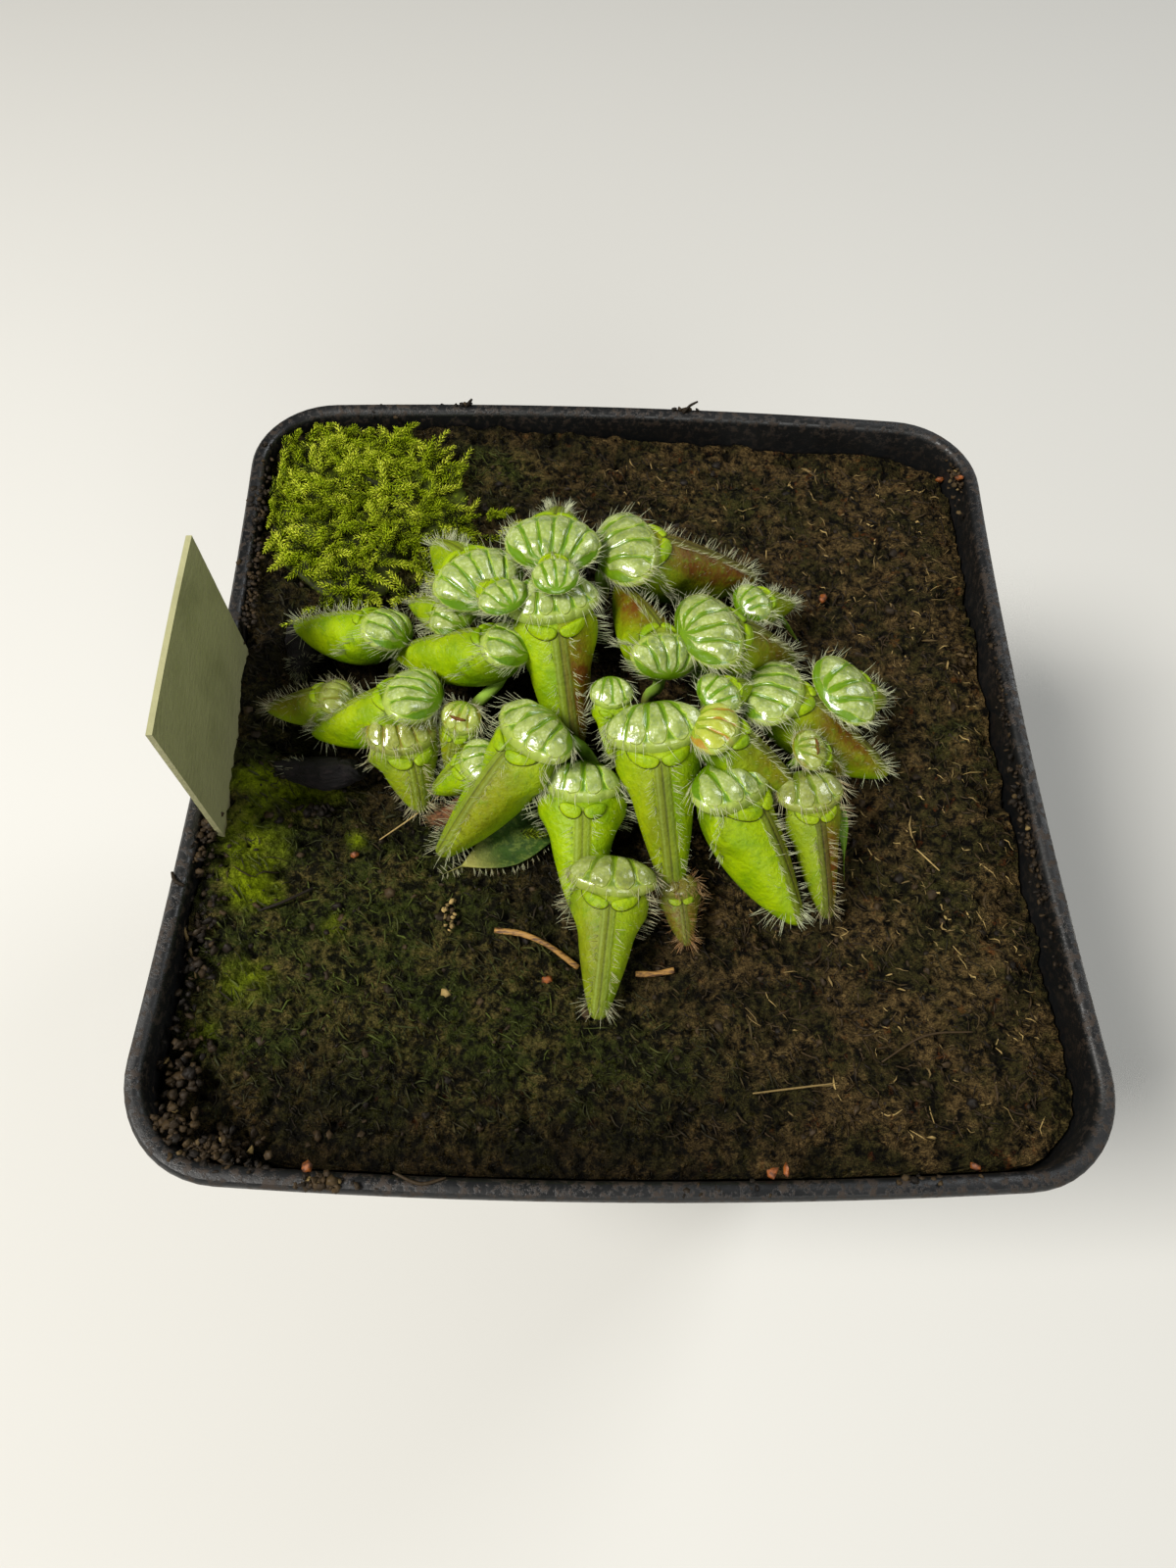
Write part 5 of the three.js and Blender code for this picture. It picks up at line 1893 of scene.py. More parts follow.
@dataclass
class FlatLeaves(Assembly):
    """The few flat leaves among the pitchers."""

    kinds = (BladeFinish, HairFinish)
    blades: tuple[Blade, ...] = BLADES
    stations: int = 34
    columns: int = 20
    cup: float = 0.16
    fringe: int = 120
    hair_radius: float = 0.034

    def build(self) -> None:
        """Makes them, the old one with hairs along its edges."""
        t, turn = np.linspace(0, 1, self.stations), around(self.columns)
        swell = np.sin(math.pi * np.minimum(1, 0.12 + t) ** 1.3)
        for blade in self.blades:
            path = curve_through(blade.points, self.stations)
            ahead = unit(np.gradient(path, axis=0))
            flat = Vector(np.cross(unit((path[-1] - path[0]) * np.array([1, 1, 0])), UP))
            tilt = math.radians(blade.tilt)
            across = np.array([Matrix.Rotation(tilt, 3, Vector(way)) @ flat for way in ahead])
            spread = np.maximum(blade.thickness * (1 - t), blade.half_width * swell)
            thick = blade.thickness * np.minimum(1, 6 * (1.02 - t))
            cup = self.cup * blade.half_width * np.outer(swell, np.cos(2 * turn))
            rings = swept(path, across, unit(np.cross(across, ahead)), np.outer(spread, np.cos(turn)),
                          0.8 * np.outer(thick, np.sin(turn)) + cup)
            body = Body()
            body.grid(rings, rib=bell(np.cos(turn), 0.22) * (np.sin(turn) > 0), age=blade.age,
                      tip=smoothstep(t, 0.6, 0.95)[:, None] * blade.age)
            if blade.age > 0.5:
                coat = Coat(self.draws)
                pick = self.draws.integers(12, self.stations, self.fringe)
                edge = self.draws.choice([-1.0, 1.0], self.fringe)[:, None]
                roots = path[pick] + across[pick] * edge * spread[pick][:, None]
                coat.grow(roots, across[pick] * edge + ahead[pick] * 0.4 + 0.3 * UP, 0.9, 0.2)
                coat.join(body, 1, self.hair_radius, 0.3)
            place(body.build(f"blade_{blade.name}", self.finishes), blade.slot, blade.name)


@dataclass
class StrawBits(Assembly):
    """The two bits of dry straw, by points with their height over the soil."""

    kinds = (StrawFinish,)
    bits: tuple[tuple[str, tuple[tuple[float, float, float], ...]], ...] = (
        ("straw_long", ((-12.6, -21.8, 0.7), (-10, -22.2, 0.9), (-7.5, -23.2, 0.9), (-4.3, -25.2, 0.7))),
        ("straw_short", ((1.2, -26, 0.7), (3, -25.9, 0.8), (5, -25.5, 0.7))),
    )
    radius: float = 0.28
    flatness: float = 0.75

    def build(self) -> None:
        """Makes them as flattened split rods."""
        turn = around(12)
        for name, points in self.bits:
            path = curve_through([(x, y, float(SOIL.height(x, y)) + rise) for x, y, rise in points], 26)
            _, across, above = directions(path, UP)
            t = np.linspace(0, 1, len(path))[:, None]
            reach = self.radius * (1 + 0.12 * np.cos(3 * turn) + 0.1 * np.sin(9 * t + 2 * turn))
            body = Body()
            body.grid(swept(path, across, above, reach * np.cos(turn), reach * self.flatness * np.sin(turn)))
            place(body.build(f"split_{name}", self.finishes), Slot.STRAW, name)


# Soil


@dataclass(frozen=True)
class Patch:
    """A round patch of colour on the soil: its middle, its two half widths and its strength."""

    x: float
    y: float
    wide: float
    deep: float
    strength: float

    def over(self, x: Array, y: Array) -> Array:
        """The patch's strength over plan positions."""
        return self.strength * np.exp(-((x - self.x) / self.wide) ** 2 - ((y - self.y) / self.deep) ** 2)


ALGAE = (
    Patch(-26, -23, 9, 7, 1.0), Patch(-20, -16, 8, 6, 0.8), Patch(-36, -28, 6, 8, 0.8),
    Patch(-14, -32, 12, 7, 0.6), Patch(-15, 38, 6, 3, 1.0), Patch(-30, 28, 12, 12, 0.5),
    Patch(-36, -11, 6, 10, 0.8), Patch(2, -34, 10, 5, 0.35), Patch(37, 2, 4, 4, 0.4),
    Patch(32, -18, 5, 8, 0.2), Patch(14, 34, 8, 4, 0.25), Patch(-5, -27, 6, 5, 0.4),
)
FILM = (
    Patch(-35, -6.5, 6.5, 2.4, 1.0), Patch(-37.3, -13.5, 3.2, 3.8, 1.0), Patch(-37, -18.3, 3, 2, 0.9),
    Patch(-27.5, -12, 1.4, 1.2, 0.9), Patch(-28.5, -21.5, 1.8, 2.2, 0.6), Patch(-36, -27, 2.8, 2.6, 0.75),
    Patch(-39.5, -32, 2, 2.5, 0.5), Patch(-22, 24, 3, 4, 0.4), Patch(-31, 25, 8, 9, 0.35),
)


def patches(spots: Iterable[Patch], x: Array, y: Array) -> Array:
    """The summed strength of some patches, up to 1."""
    return np.clip(sum(spot.over(x, y) for spot in spots), 0, 1)


@dataclass
class PeatBed(Assembly):
    """The peat that fills the pot, with its crumbs and fibres."""

    kinds = (PeatFinish, FibreFinish)
    cells: int = 274
    crumb: float = 1.1
    pit_depth: float = 0.4
    fibres: int = 6600
    fibre_radii: tuple[float, ...] = (0.5, 1, 0.9, 0.4)
    crumbs: int = 700
    reach: float = 41.0
    straight: float = 35.0
    corner: float = 6.5

    def surface(self, x: Array, y: Array) -> tuple[Array, Array]:
        """The crumbly surface.

        Args:
            x: plan position across the pot.
            y: plan position from front to back.

        Returns:
            Its height, and how deep in a pit each point lies, from 0 to 1.
        """
        grain = self.grain
        warp = grain.rough(x, y, 5, 3) * 2.5
        clods = 0.5 - np.clip(grain.cells(x + warp, y - warp, 2.6), 0, 1)
        small = 0.5 - np.clip(grain.cells(x - 0.6 * warp, y + 0.4 * warp, 1.1), 0, 1)
        fine = grain.rough(x, y, 0.7, 3) - 0.5
        rolls = grain.rough(x + 40, y, 8, 3) - 0.5
        pit = smoothstep(-clods - 0.6 * small - fine, 0.1, 0.6)
        relief = rolls + 0.6 * clods + 0.45 * small + 0.75 * fine
        return SOIL.height(x, y) + self.crumb * relief - self.pit_depth * pit, pit

    def tones(self, x: Array, y: Array, pit: Array) -> dict[str, Array]:
        """The values that the peat's finish reads.

        Args:
            x: plan position across the pot.
            y: plan position from front to back.
            pit: how deep in a pit each point lies.

        Returns:
            The values by name.
        """
        grain = self.grain
        algae = patches(ALGAE, x, y) * (0.35 + 1.3 * grain.rough(x, y, 2.2, 4))
        film = patches(FILM, x, y) * (0.3 + 1.5 * grain.rough(x + 9, y, 1.4, 4)) - 0.25
        dry = 0.12 + 0.88 * smoothstep(x + 0.25 * y, -14, 20) + 0.7 * (grain.rough(x, y + 7, 3, 3) - 0.5)
        return {"algae": np.clip(algae, 0, 1), "film": np.clip(film, 0, 1) * (1 - 0.7 * pit),
                "dry": np.clip(dry, 0, 1), "pit": pit}

    def lay_bed(self) -> None:
        """Makes the bed's surface, sides and bottom."""
        half, corner = (size - SOIL.gap for size in POT.inside(SOIL.level))
        u = np.linspace(-1, 1, self.cells)
        v = u[:, None] * half
        over = np.maximum(np.abs(v) - (half - corner), 0)
        x = u * (half - corner + np.sqrt(np.maximum(corner ** 2 - over ** 2, 0)))
        x, y = POT.bowed(x, np.broadcast_to(v, x.shape), half, SOIL.level / POT.height)
        z, pit = self.surface(x, y)
        top = np.stack([x, y, z], -1)
        body = Body()
        body.grid(top, joined=False, **self.tones(x, y, pit))
        rings = [border(top)]
        collar = POT.height - POT.collar_drop
        for height in (collar + 1.5, collar - 1, POT.floor + SOIL.gap):
            ring = rings[0] * (POT.inside(height)[0] - SOIL.gap) / half
            ring[:, 2] = height
            rings.append(ring)
        hidden = {"algae": 0, "film": 0, "dry": 0.4, "pit": 0}
        body.grid(np.stack(rings), ends=False, flip=True, **hidden)
        count = len(rings[-1])
        first = np.arange(count)
        bottom = np.concatenate([rings[-1], [rings[-1].mean(axis=0)]])
        body.add(bottom, np.stack([first, np.full(count, count), (first + 1) % count], -1), **hidden)
        place(body.build("peat_bed", self.finishes), Slot.PEAT, "potting_soil")

    def spots(self, count: int) -> tuple[Array, Array]:
        """Random plan positions within the pot.

        Args:
            count: number of tries, of which those in the corners are dropped.

        Returns:
            The positions.
        """
        x, y = (self.draws.uniform(-self.reach, self.reach, count) for _ in "xy")
        past_x, past_y = (np.maximum(np.abs(value) - self.straight, 0) for value in (x, y))
        keep = np.hypot(past_x, past_y) < self.corner
        return x[keep], y[keep]

    def lay_fibres(self) -> None:
        """Makes the fibres that lie on the peat."""
        draws = self.draws
        x, y = self.spots(self.fibres)
        count = len(x)
        length = np.minimum(draws.gamma(2.0, 0.4, count) + 0.4, 4.5)
        turn = np.where(draws.uniform(0, 1, count) < 0.6, draws.normal(-0.8, 0.45, count),
                        draws.uniform(0, math.tau, count))
        bend = draws.normal(0, 0.4, count)
        stations = np.linspace(-0.5, 0.5, len(self.fibre_radii))
        heading = turn[:, None] + bend[:, None] * stations
        step = stations * length[:, None]
        px, py = (np.clip(start[:, None] + way * step, -self.reach - 0.3, self.reach + 0.3)
                  for start, way in ((x, np.cos(heading)), (y, np.sin(heading))))
        ground, _ = self.surface(px, py)
        lift = draws.uniform(-0.02, 0.22, count)[:, None] + draws.normal(0, 0.14, px.shape)
        thick = draws.gamma(3.0, 0.017, count) + 0.022
        tones = self.tones(x, y, np.zeros(count))
        tone = np.clip(draws.beta(1.3, 2.2, count) * (0.2 + tones["dry"]), 0, 1)
        green = tones["algae"] * draws.uniform(0, 1, count)
        body = Body()
        paths = np.stack([px, py, ground + lift], -1)
        body.rods(paths, thick[:, None] * np.array(self.fibre_radii), 3, tone=tone, green=green)
        place(body.build("peat_fibres", self.finishes[1:]), Slot.PEAT)

    def lay_crumbs(self) -> None:
        """Makes the loose crumbs among the fibres."""
        x, y = self.spots(self.crumbs)
        z, _ = self.surface(x, y)
        body = Body()
        size = np.minimum(self.draws.gamma(2.0, 0.13, len(x)) + 0.12, 0.8)
        pebbles(body, np.stack([x, y, z], -1), size, self.draws)
        place(body.build("peat_crumbs", self.finishes[1:]), Slot.PEAT)

    def build(self) -> None:
        """Makes the bed, its fibres and its loose crumbs."""
        self.lay_bed()
        self.lay_fibres()
        self.lay_crumbs()


def kept_within(x: Array, y: Array, half: float, corner: float) -> tuple[Array, Array]:
    """Plan positions drawn in where they lie outside a rounded square.

    Args:
        x: positions to the right.
        y: positions to the back.
        half: half the square's width.
        corner: radius of its corners.

    Returns:
        The positions within it.
    """
    x, y = np.clip(x, -half, half), np.clip(y, -half, half)
    over_x, over_y = (np.maximum(np.abs(v) - (half - corner), 0) for v in (x, y))
    pull = 1 - np.minimum(1, corner / np.maximum(np.hypot(over_x, over_y), 1e-6))
    return x - np.sign(x) * over_x * pull, y - np.sign(y) * over_y * pull


def pebbles(body: Body, centres: Array, sizes: Array, draws: np.random.Generator, tone: float = 0.3) -> None:
    """Adds small rough crumbs.

    Args:
        body: the piece.
        centres: where each lies.
        sizes: half the width of each.
        draws: the seeded source of random numbers.
        tone: their middling colour, 0 for black and 1 for tan.
    """
    rows, columns = 4, 6
    polar = np.linspace(0.35, math.pi - 0.35, rows)[::-1, None]
    turn = around(columns)
    shell = np.stack([np.sin(polar) * np.cos(turn), np.sin(polar) * np.sin(turn),
                      np.cos(polar) + 0 * turn], -1)
    for centre, size in zip(centres, sizes):
        rough = draws.uniform(0.5, 1.25, (rows, columns, 1))[::-1]
        squash = np.array([1, draws.uniform(0.45, 1), draws.uniform(0.4, 0.8)])
        spin = np.array(Matrix.Rotation(draws.uniform(0, math.tau), 3, "Z"))
        shade = np.clip(tone + 0.18 * draws.normal(), 0, 1)
        body.grid(centre + shell * rough * squash @ spin.T * size, flip=True, tone=shade, green=0)


@dataclass(frozen=True)
class Strand:
    """A root, twig or thread by its points, with its thickness, and its tone from 0, black, to 1, tan."""

    points: tuple[tuple[float, float, float], ...]
    radius: float
    tone: float


@dataclass(frozen=True)
class Heap:
    """A heap of crumbs: its middle, how far it spreads, how many, how large and how pale."""

    x: float
    y: float
    z: float
    wide: float
    deep: float
    count: int
    size: float
    tone: float


@dataclass
class Litter(Assembly):
    """Loose roots and threads on the peat, and the peat that clings to the pot's rim and inside."""

    kinds = (FibreFinish, ChipFinish)
    strands: tuple[Strand, ...] = (
        Strand(((-24.9, -12.2, 76.3), (-21.5, -10, 77.4), (-18.4, -8.2, 79.4)), 0.09, 0.95),
        Strand(((-43.6, -16.4, 79.4), (-43.2, -20, 78.6), (-41.8, -24, 77.2), (-40.8, -27, 76.6)), 0.16, 0.75),
        Strand(((-43.7, -17.6, 80.1), (-43.1, -18.6, 80.2), (-42.3, -18.9, 80)), 0.2, 0.2),
        Strand(((-31, -17.5, 76.2), (-34.2, -19.4, 76.5), (-37.6, -20.6, 76.4)), 0.18, 0.1),
        Strand(((-20, -44.5, 80.1), (-17.5, -45.4, 80.2), (-15.5, -44.9, 80.1)), 0.16, 0.35),
        Strand(((8.2, 45.6, 80), (9, 46, 80.9), (9.9, 46.1, 81.5)), 0.18, 0.15),
        Strand(((-19.2, 45.6, 80), (-18.4, 46, 80.9)), 0.2, 0.1),
        Strand(((24.5, -34, 76), (29, -31.5, 76.2), (34, -31, 75.9)), 0.12, 0.6),
        Strand(((31, -12, 76), (33, -14.5, 76.2)), 0.09, 0.95),
        Strand(((12, -37, 76), (20, -36, 76.1)), 0.1, 0.8),
    )
    heaps: tuple[Heap, ...] = (
        Heap(-43.6, 29, 79.6, 1.0, 7.0, 110, 0.45, 0.2), Heap(-42.6, 17, 79.6, 0.9, 6.0, 80, 0.4, 0.25),
        Heap(-42.9, -12.5, 79.4, 1.0, 3.4, 90, 0.45, 0.25), Heap(-41.6, -22, 77.6, 1.3, 8.0, 110, 0.5, 0.12),
        Heap(-41, -36, 76.8, 1.8, 3.6, 60, 0.6, 0.3), Heap(-36, -41.5, 76.4, 4.0, 1.2, 60, 0.5, 0.35),
        Heap(-19, 46, 80, 1.0, 0.3, 14, 0.4, 0.15), Heap(8, 46, 80, 1.4, 0.3, 16, 0.4, 0.15),
        Heap(-30, 44.6, 79.4, 9.0, 0.9, 90, 0.4, 0.15), Heap(10, 45, 78.4, 16.0, 0.7, 90, 0.4, 0.2),
        Heap(42.4, 37, 79, 0.8, 4.0, 40, 0.4, 0.55), Heap(42.6, -12, 79.3, 0.6, 9.0, 90, 0.4, 0.18),
        Heap(43.2, 8, 79.6, 0.5, 10.0, 60, 0.3, 0.15), Heap(-24, -44.3, 79.6, 5.0, 0.6, 60, 0.4, 0.3),
        Heap(10, -44, 79.7, 6.0, 0.5, 44, 0.35, 0.2), Heap(26, -43.8, 79.7, 3.0, 0.5, 24, 0.35, 0.3),
        Heap(-34, -43.4, 79.5, 4.0, 0.7, 50, 0.45, 0.1), Heap(-25.9, -44.6, 80.1, 1.6, 0.8, 60, 0.5, 0.45),
        Heap(-39.7, -40.6, 79.3, 1.2, 1.6, 50, 0.5, 0.4), Heap(-36.8, -42.2, 79.2, 1.8, 1.0, 50, 0.5, 0.4),
        Heap(41.5, 11.7, 76.3, 0.8, 0.8, 8, 0.6, 0.5), Heap(-17.6, -19.2, 76.2, 0.7, 1.2, 22, 0.3, 0.8),
        Heap(-35, -5, 76.9, 3.0, 0.6, 34, 0.5, 0.0), Heap(-33, -8.8, 76.3, 2.0, 0.5, 26, 0.5, 0.0),
    )
    flecks: tuple[tuple[float, float], ...] = (
        (-27.3, -13.8), (41.5, 39.5), (42.2, 36.5), (24.6, 20.4), (-7.4, -26.5), (-27.5, -44.1), (12.6, -44.2),
        (30.5, -43.6), (13.8, -44),
    )
    fleck_size: float = 0.6
    fleck_lift: float = 0.4
    rim_line: float = 42.0
    rim_height: float = 79.6
    rim_half: float = 44.5
    rim_corner: float = 9.2
    stations: int = 14

    def build(self) -> None:
        """Makes the strands, heaps and flecks."""
        body = Body()
        for strand in self.strands:
            path = curve_through(strand.points, self.stations)
            radii = strand.radius * (0.55 + 0.45 * np.sin(np.linspace(0.2, math.pi - 0.2, self.stations)))
            body.rods(path[None], radii, 6, tone=strand.tone, green=0)
        for heap in self.heaps:
            spread = self.draws.normal(size=(heap.count, 3)) * 0.6 * np.array([heap.wide, heap.deep, 0.35])
            centres = np.array([heap.x, heap.y, heap.z]) + spread
            x, y = kept_within(centres[:, 0], centres[:, 1], self.rim_half, self.rim_corner)
            centres[:, 0], centres[:, 1] = POT.bowed(x, y, POT.rim_width / 2, 1.0)
            sizes = heap.size * self.draws.uniform(0.5, 1.2, heap.count)
            pebbles(body, centres, sizes, self.draws, heap.tone)
        place(body.build("loose_litter", self.finishes[:1]), Slot.PEAT)
        chips = Body()
        for x, y in self.flecks:
            on_soil = max(abs(x), abs(y)) < self.rim_line
            z = float(SOIL.height(x, y)) + self.fleck_lift if on_soil else self.rim_height
            pebbles(chips, [(x, y, z)], [self.fleck_size], self.draws, 0.5)
        place(chips.build("orange_chips", self.finishes[1:]), Slot.STRAW)


# Moss


@dataclass
class MossMat(Assembly):
    """The moss in the back left corner: a low mat with leafy shoots, and sprigs beside it."""

    kinds = (MossFinish,)
    middle: tuple[float, float] = (-31.5, 31.0)
    half: tuple[float, float] = (11.5, 12.5)
    thickness: float = 1.2
    shoots: int = 400
    shoot_length: float = 3.6
    sprigs: tuple[tuple[float, float, int], ...] = (
        (-20.5, 31, 9), (-18.5, 27, 8), (-21.5, 22, 8), (-24, 19.5, 7), (-12, 28.5, 5), (-15.5, 30, 5),
        (-9.5, -13.2, 3), (-33.5, 16, 6),
    )
    sprig_length: float = 3.0
    stem_radius: float = 0.06
    joints: int = 6
    leaves: int = 56
    leaf_length: float = 0.85
    leaf_width: float = 0.13
    wall_left: float = -40.9
    wall_back: float = 42.0
    wall_half: float = 42.2
    wall_corner: float = 8.5
    leaf_faces: tuple[tuple[int, int, int], ...] = (
        (0, 1, 4), (1, 2, 4), (2, 3, 4), (3, 0, 4), (0, 3, 1), (1, 3, 2))

    def spread(self, turn: Array, share: Array) -> tuple[Array, Array, Array]:
        """Places on the mat.

        Args:
            turn: angles round its middle.
            share: how far out they are, from 0 to 1 at its wavy edge.

        Returns:
            The plan positions, kept inside the pot's wall, and the height of the mat there.
        """
        edge = (1 + 0.12 * np.sin(3 * turn + 0.6) + 0.08 * np.sin(5 * turn + 2)) * share
        x = self.middle[0] + self.half[0] * edge * np.cos(turn)
        y = self.middle[1] + self.half[1] * edge * np.sin(turn)
        x, y = self.held(x, y)
        return x, y, SOIL.height(x, y) + self.thickness * (1 - 0.7 * share ** 4)

    def held(self, x: Array, y: Array) -> tuple[Array, Array]:
        """Plan positions kept inside the pot's wall."""
        inner = np.maximum(x, self.wall_left), np.minimum(y, self.wall_back)
        return kept_within(*inner, self.wall_half, self.wall_corner)

    def build(self) -> None:
        """Makes the mat with its shoots, and the sprigs."""
        draws = self.draws
        body = Body()
        x, y, z = self.spread(around(72), np.linspace(0.03, 1, 26)[:, None])
        bumps = self.grain.rough(x, y, 1.6, 3) - 0.4
        top = np.stack([x, y, z + 0.8 * bumps], -1)
        low = np.stack([x[-1], y[-1], SOIL.height(x[-1], y[-1]) - 0.6], -1)
        # The mat under the shoots is near black, darkest in its hollows: old moss, and painted shade among the
        # shoots.
        tone = 0.02 + 0.3 * np.clip(bumps, 0, 1)
        body.grid(np.concatenate([top, low[None]]), tone=np.concatenate([tone, tone[-1:] * 0]))
        angle = draws.uniform(0, math.tau, self.shoots)
        x, y, z = self.spread(angle, np.sqrt(draws.uniform(0, 1, self.shoots)) * 0.97)
        self.grow(body, np.stack([x, y, z - 0.2], -1), self.shoot_length)
        place(body.build("moss_mat", self.finishes), Slot.MOSS, "moss_carpet")
        body = Body()
        x, y = np.concatenate([
            np.stack([x + draws.normal(0, 1.1, count), y + draws.normal(0, 1.0, count)], -1)
            for x, y, count in self.sprigs]).T
        self.grow(body, np.stack([x, y, SOIL.height(x, y) - 0.1], -1), self.sprig_length)
        place(body.build("moss_sprigs", self.finishes), Slot.MOSS)

    def grow(self, body: Body, roots: Array, length: float) -> None:
        """Adds leafy shoots.

        Args:
            body: the piece.
            roots: where each starts.
            length: middling length of a shoot.
        """
        draws, count = self.draws, len(roots)
        heading = draws.uniform(0, math.tau, count)
        lie = draws.uniform(0.15, 0.95, count)[:, None]
        reach = length * draws.uniform(0.6, 1.4, count)[:, None]
        t = np.linspace(0, 1, self.joints + 1)
        along = reach * np.cos(lie) * t * (0.7 + 0.5 * t)
        x = roots[:, :1] + np.cos(heading)[:, None] * along
        y = roots[:, 1:2] + np.sin(heading)[:, None] * along
        x, y = self.held(x, y)
        paths = np.stack([x, y, roots[:, 2:] + reach * np.sin(lie) * t * (1 - 0.35 * t)], -1)
        tones = np.clip(draws.normal(0.58, 0.32, count), 0.05, 1)
        body.rods(paths, np.full(len(t), self.stem_radius), 3, tone=tones * 0.6)
        self.leaf(body, paths, tones)

    def leaf(self, body: Body, paths: Array, tones: Array) -> None:
        """Sets small keeled leaves all round the shoots' stems.

        Args:
            body: the piece.
            paths: the stems, by shoot and joint.
            tones: the shoots' colour tones.
        """
        draws, count = self.draws, len(paths)
        ahead = unit(np.gradient(paths, axis=1))
        t = (np.arange(self.leaves) + 0.5) / self.leaves
        joint = np.minimum((t * self.joints).astype(int), self.joints - 1)
        past = (t * self.joints - joint)[:, None]
        where = paths[:, joint] * (1 - past) + paths[:, joint + 1] * past
        way = unit(ahead[:, joint] * (1 - past) + ahead[:, joint + 1] * past)
        spin = (np.arange(self.leaves) * 2.4 + draws.uniform(0, 6, (count, 1)))[..., None]
        guide = unit(np.cross(way, [0.31, 0.17, 0.93]))
        out = guide * np.cos(spin) + np.cross(way, guide) * np.sin(spin)
        swell = np.sin(math.pi * (0.18 + 0.74 * t)) ** 0.6
        size = (self.leaf_length * swell * draws.uniform(0.75, 1.2, (count, self.leaves)))[..., None]
        tip = where + (out + way) * 0.75 * size
        tip[..., 0], tip[..., 1] = self.held(tip[..., 0], tip[..., 1])
        middle = where * 0.55 + tip * 0.45 + out * 0.06
        wide = unit(np.cross(way, out)) * self.leaf_width * size
        corners = np.stack([where, middle + wide, tip, middle - wide, middle - out * 0.07], axis=2)
        first = np.arange(count * self.leaves)[:, None] * corners.shape[2]
        faces = np.concatenate([first + np.array(face) for face in self.leaf_faces])
        # Leaves darken towards a shoot's foot: older leaves, and painted shade low in the mat.
        tone = tones[:, None] * (0.55 + 0.6 * t) + draws.normal(0, 0.08, (count, self.leaves))
        body.add(corners, faces, tone=np.repeat(np.clip(tone, 0, 1), corners.shape[2]))


# Pot, label and crown


@dataclass
class NurseryPot(Assembly):
    """The square black pot with its turned-over rim and drain holes."""

    kinds = (PlasticFinish,)
    corner_steps: int = 12
    side_steps: int = 20
    foot_rings: tuple[tuple[float, float], ...] = ((0.6, 0.0), (0.15, 0.25), (0, 0.8))
    wall_rings: tuple[float, ...] = (0.25, 0.5, 0.75)
    collar_rings: tuple[tuple[float, float], ...] = (
        (1.3, -0.35), (0.95, -0.02), (0.86, 0.4), (0.5, 7), (0.3, 10.8))
    rim_rings: tuple[tuple[float, float], ...] = (
        (0.08, 1.7), (0, 1.25), (0, 0.65), (0.12, 0.25), (0.4, 0), (0.85, 0), (1.3, 0.08), (1.6, 0.35))
    inner_drops: tuple[float, ...] = (0.8, 3, 9, 12.2, 14.2, 16)
    drain_radius: float = 4.0
    drain_offset: float = 21.0
    drains: tuple[tuple[int, int], ...] = (
        (1, 1), (-1, 1), (-1, -1), (1, -1), (1, 0), (0, 1), (-1, 0), (0, -1))
    sharp: float = math.radians(38)

    def profile(self) -> list[tuple[float, float, float]]:
        """The pot's rings, from the underside up and down the inside.

        Returns:
            Half width, corner radius and height of each.
        """
        half, corner, top = POT.rim_width / 2, POT.rim_corner, POT.height
        collar = top - POT.collar_drop
        wall_half, wall_corner = POT.outside(collar - 1)
        rings = [(POT.base_width / 2 - inset, POT.base_corner - inset, z) for inset, z in self.foot_rings]
        rings += [(*POT.outside((collar - 1) * share), (collar - 1) * share) for share in self.wall_rings]
        rings += [(wall_half - 0.02, wall_corner, collar - 1.2), (wall_half + 0.1, wall_corner, collar - 0.9)]
        rings += [(half - inset, corner - inset, collar + rise) for inset, rise in self.collar_rings]
        rings += [(half - inset, corner - inset, top - drop) for inset, drop in self.rim_rings]
        inner = [top - drop for drop in self.inner_drops] + [collar / 2, POT.floor]
        return rings + [(*POT.inside(z), z) for z in inner]

    def drain(self, pot: bpy.types.Object) -> None:
        """Cuts the drain holes.

        Args:
            pot: the finished pot.
        """
        cutters = []
        for x, y in self.drains:
            bpy.ops.mesh.primitive_cylinder_add(
                vertices=32, radius=self.drain_radius * MM, depth=6 * MM,
                location=(x * self.drain_offset * MM, y * self.drain_offset * MM, 0.5 * MM))
            cutters.append(bpy.context.object)
            cut = pot.modifiers.new("drain", "BOOLEAN")
            cut.operation, cut.solver, cut.object = "DIFFERENCE", "EXACT", cutters[-1]
        bpy.context.view_layer.update()
        mesh = bpy.data.meshes.new_from_object(pot.evaluated_get(bpy.context.evaluated_depsgraph_get()))
        pot.modifiers.clear()
        pot.data = mesh
        for cutter in cutters:
            bpy.data.objects.remove(cutter)

    def build(self) -> None:
        """Makes the pot."""
        points = np.stack([POT.ring(*ring, self.corner_steps, self.side_steps) for ring in self.profile()])
        body = Body()
        body.grid(points, smear=smoothstep(points[..., 2], POT.height - 5, POT.height))
        pot = body.build("square_pot", self.finishes)
        self.drain(pot)
        pot.data.set_sharp_from_angle(angle=self.sharp)
        place(pot, Slot.PLASTIC, "pot")


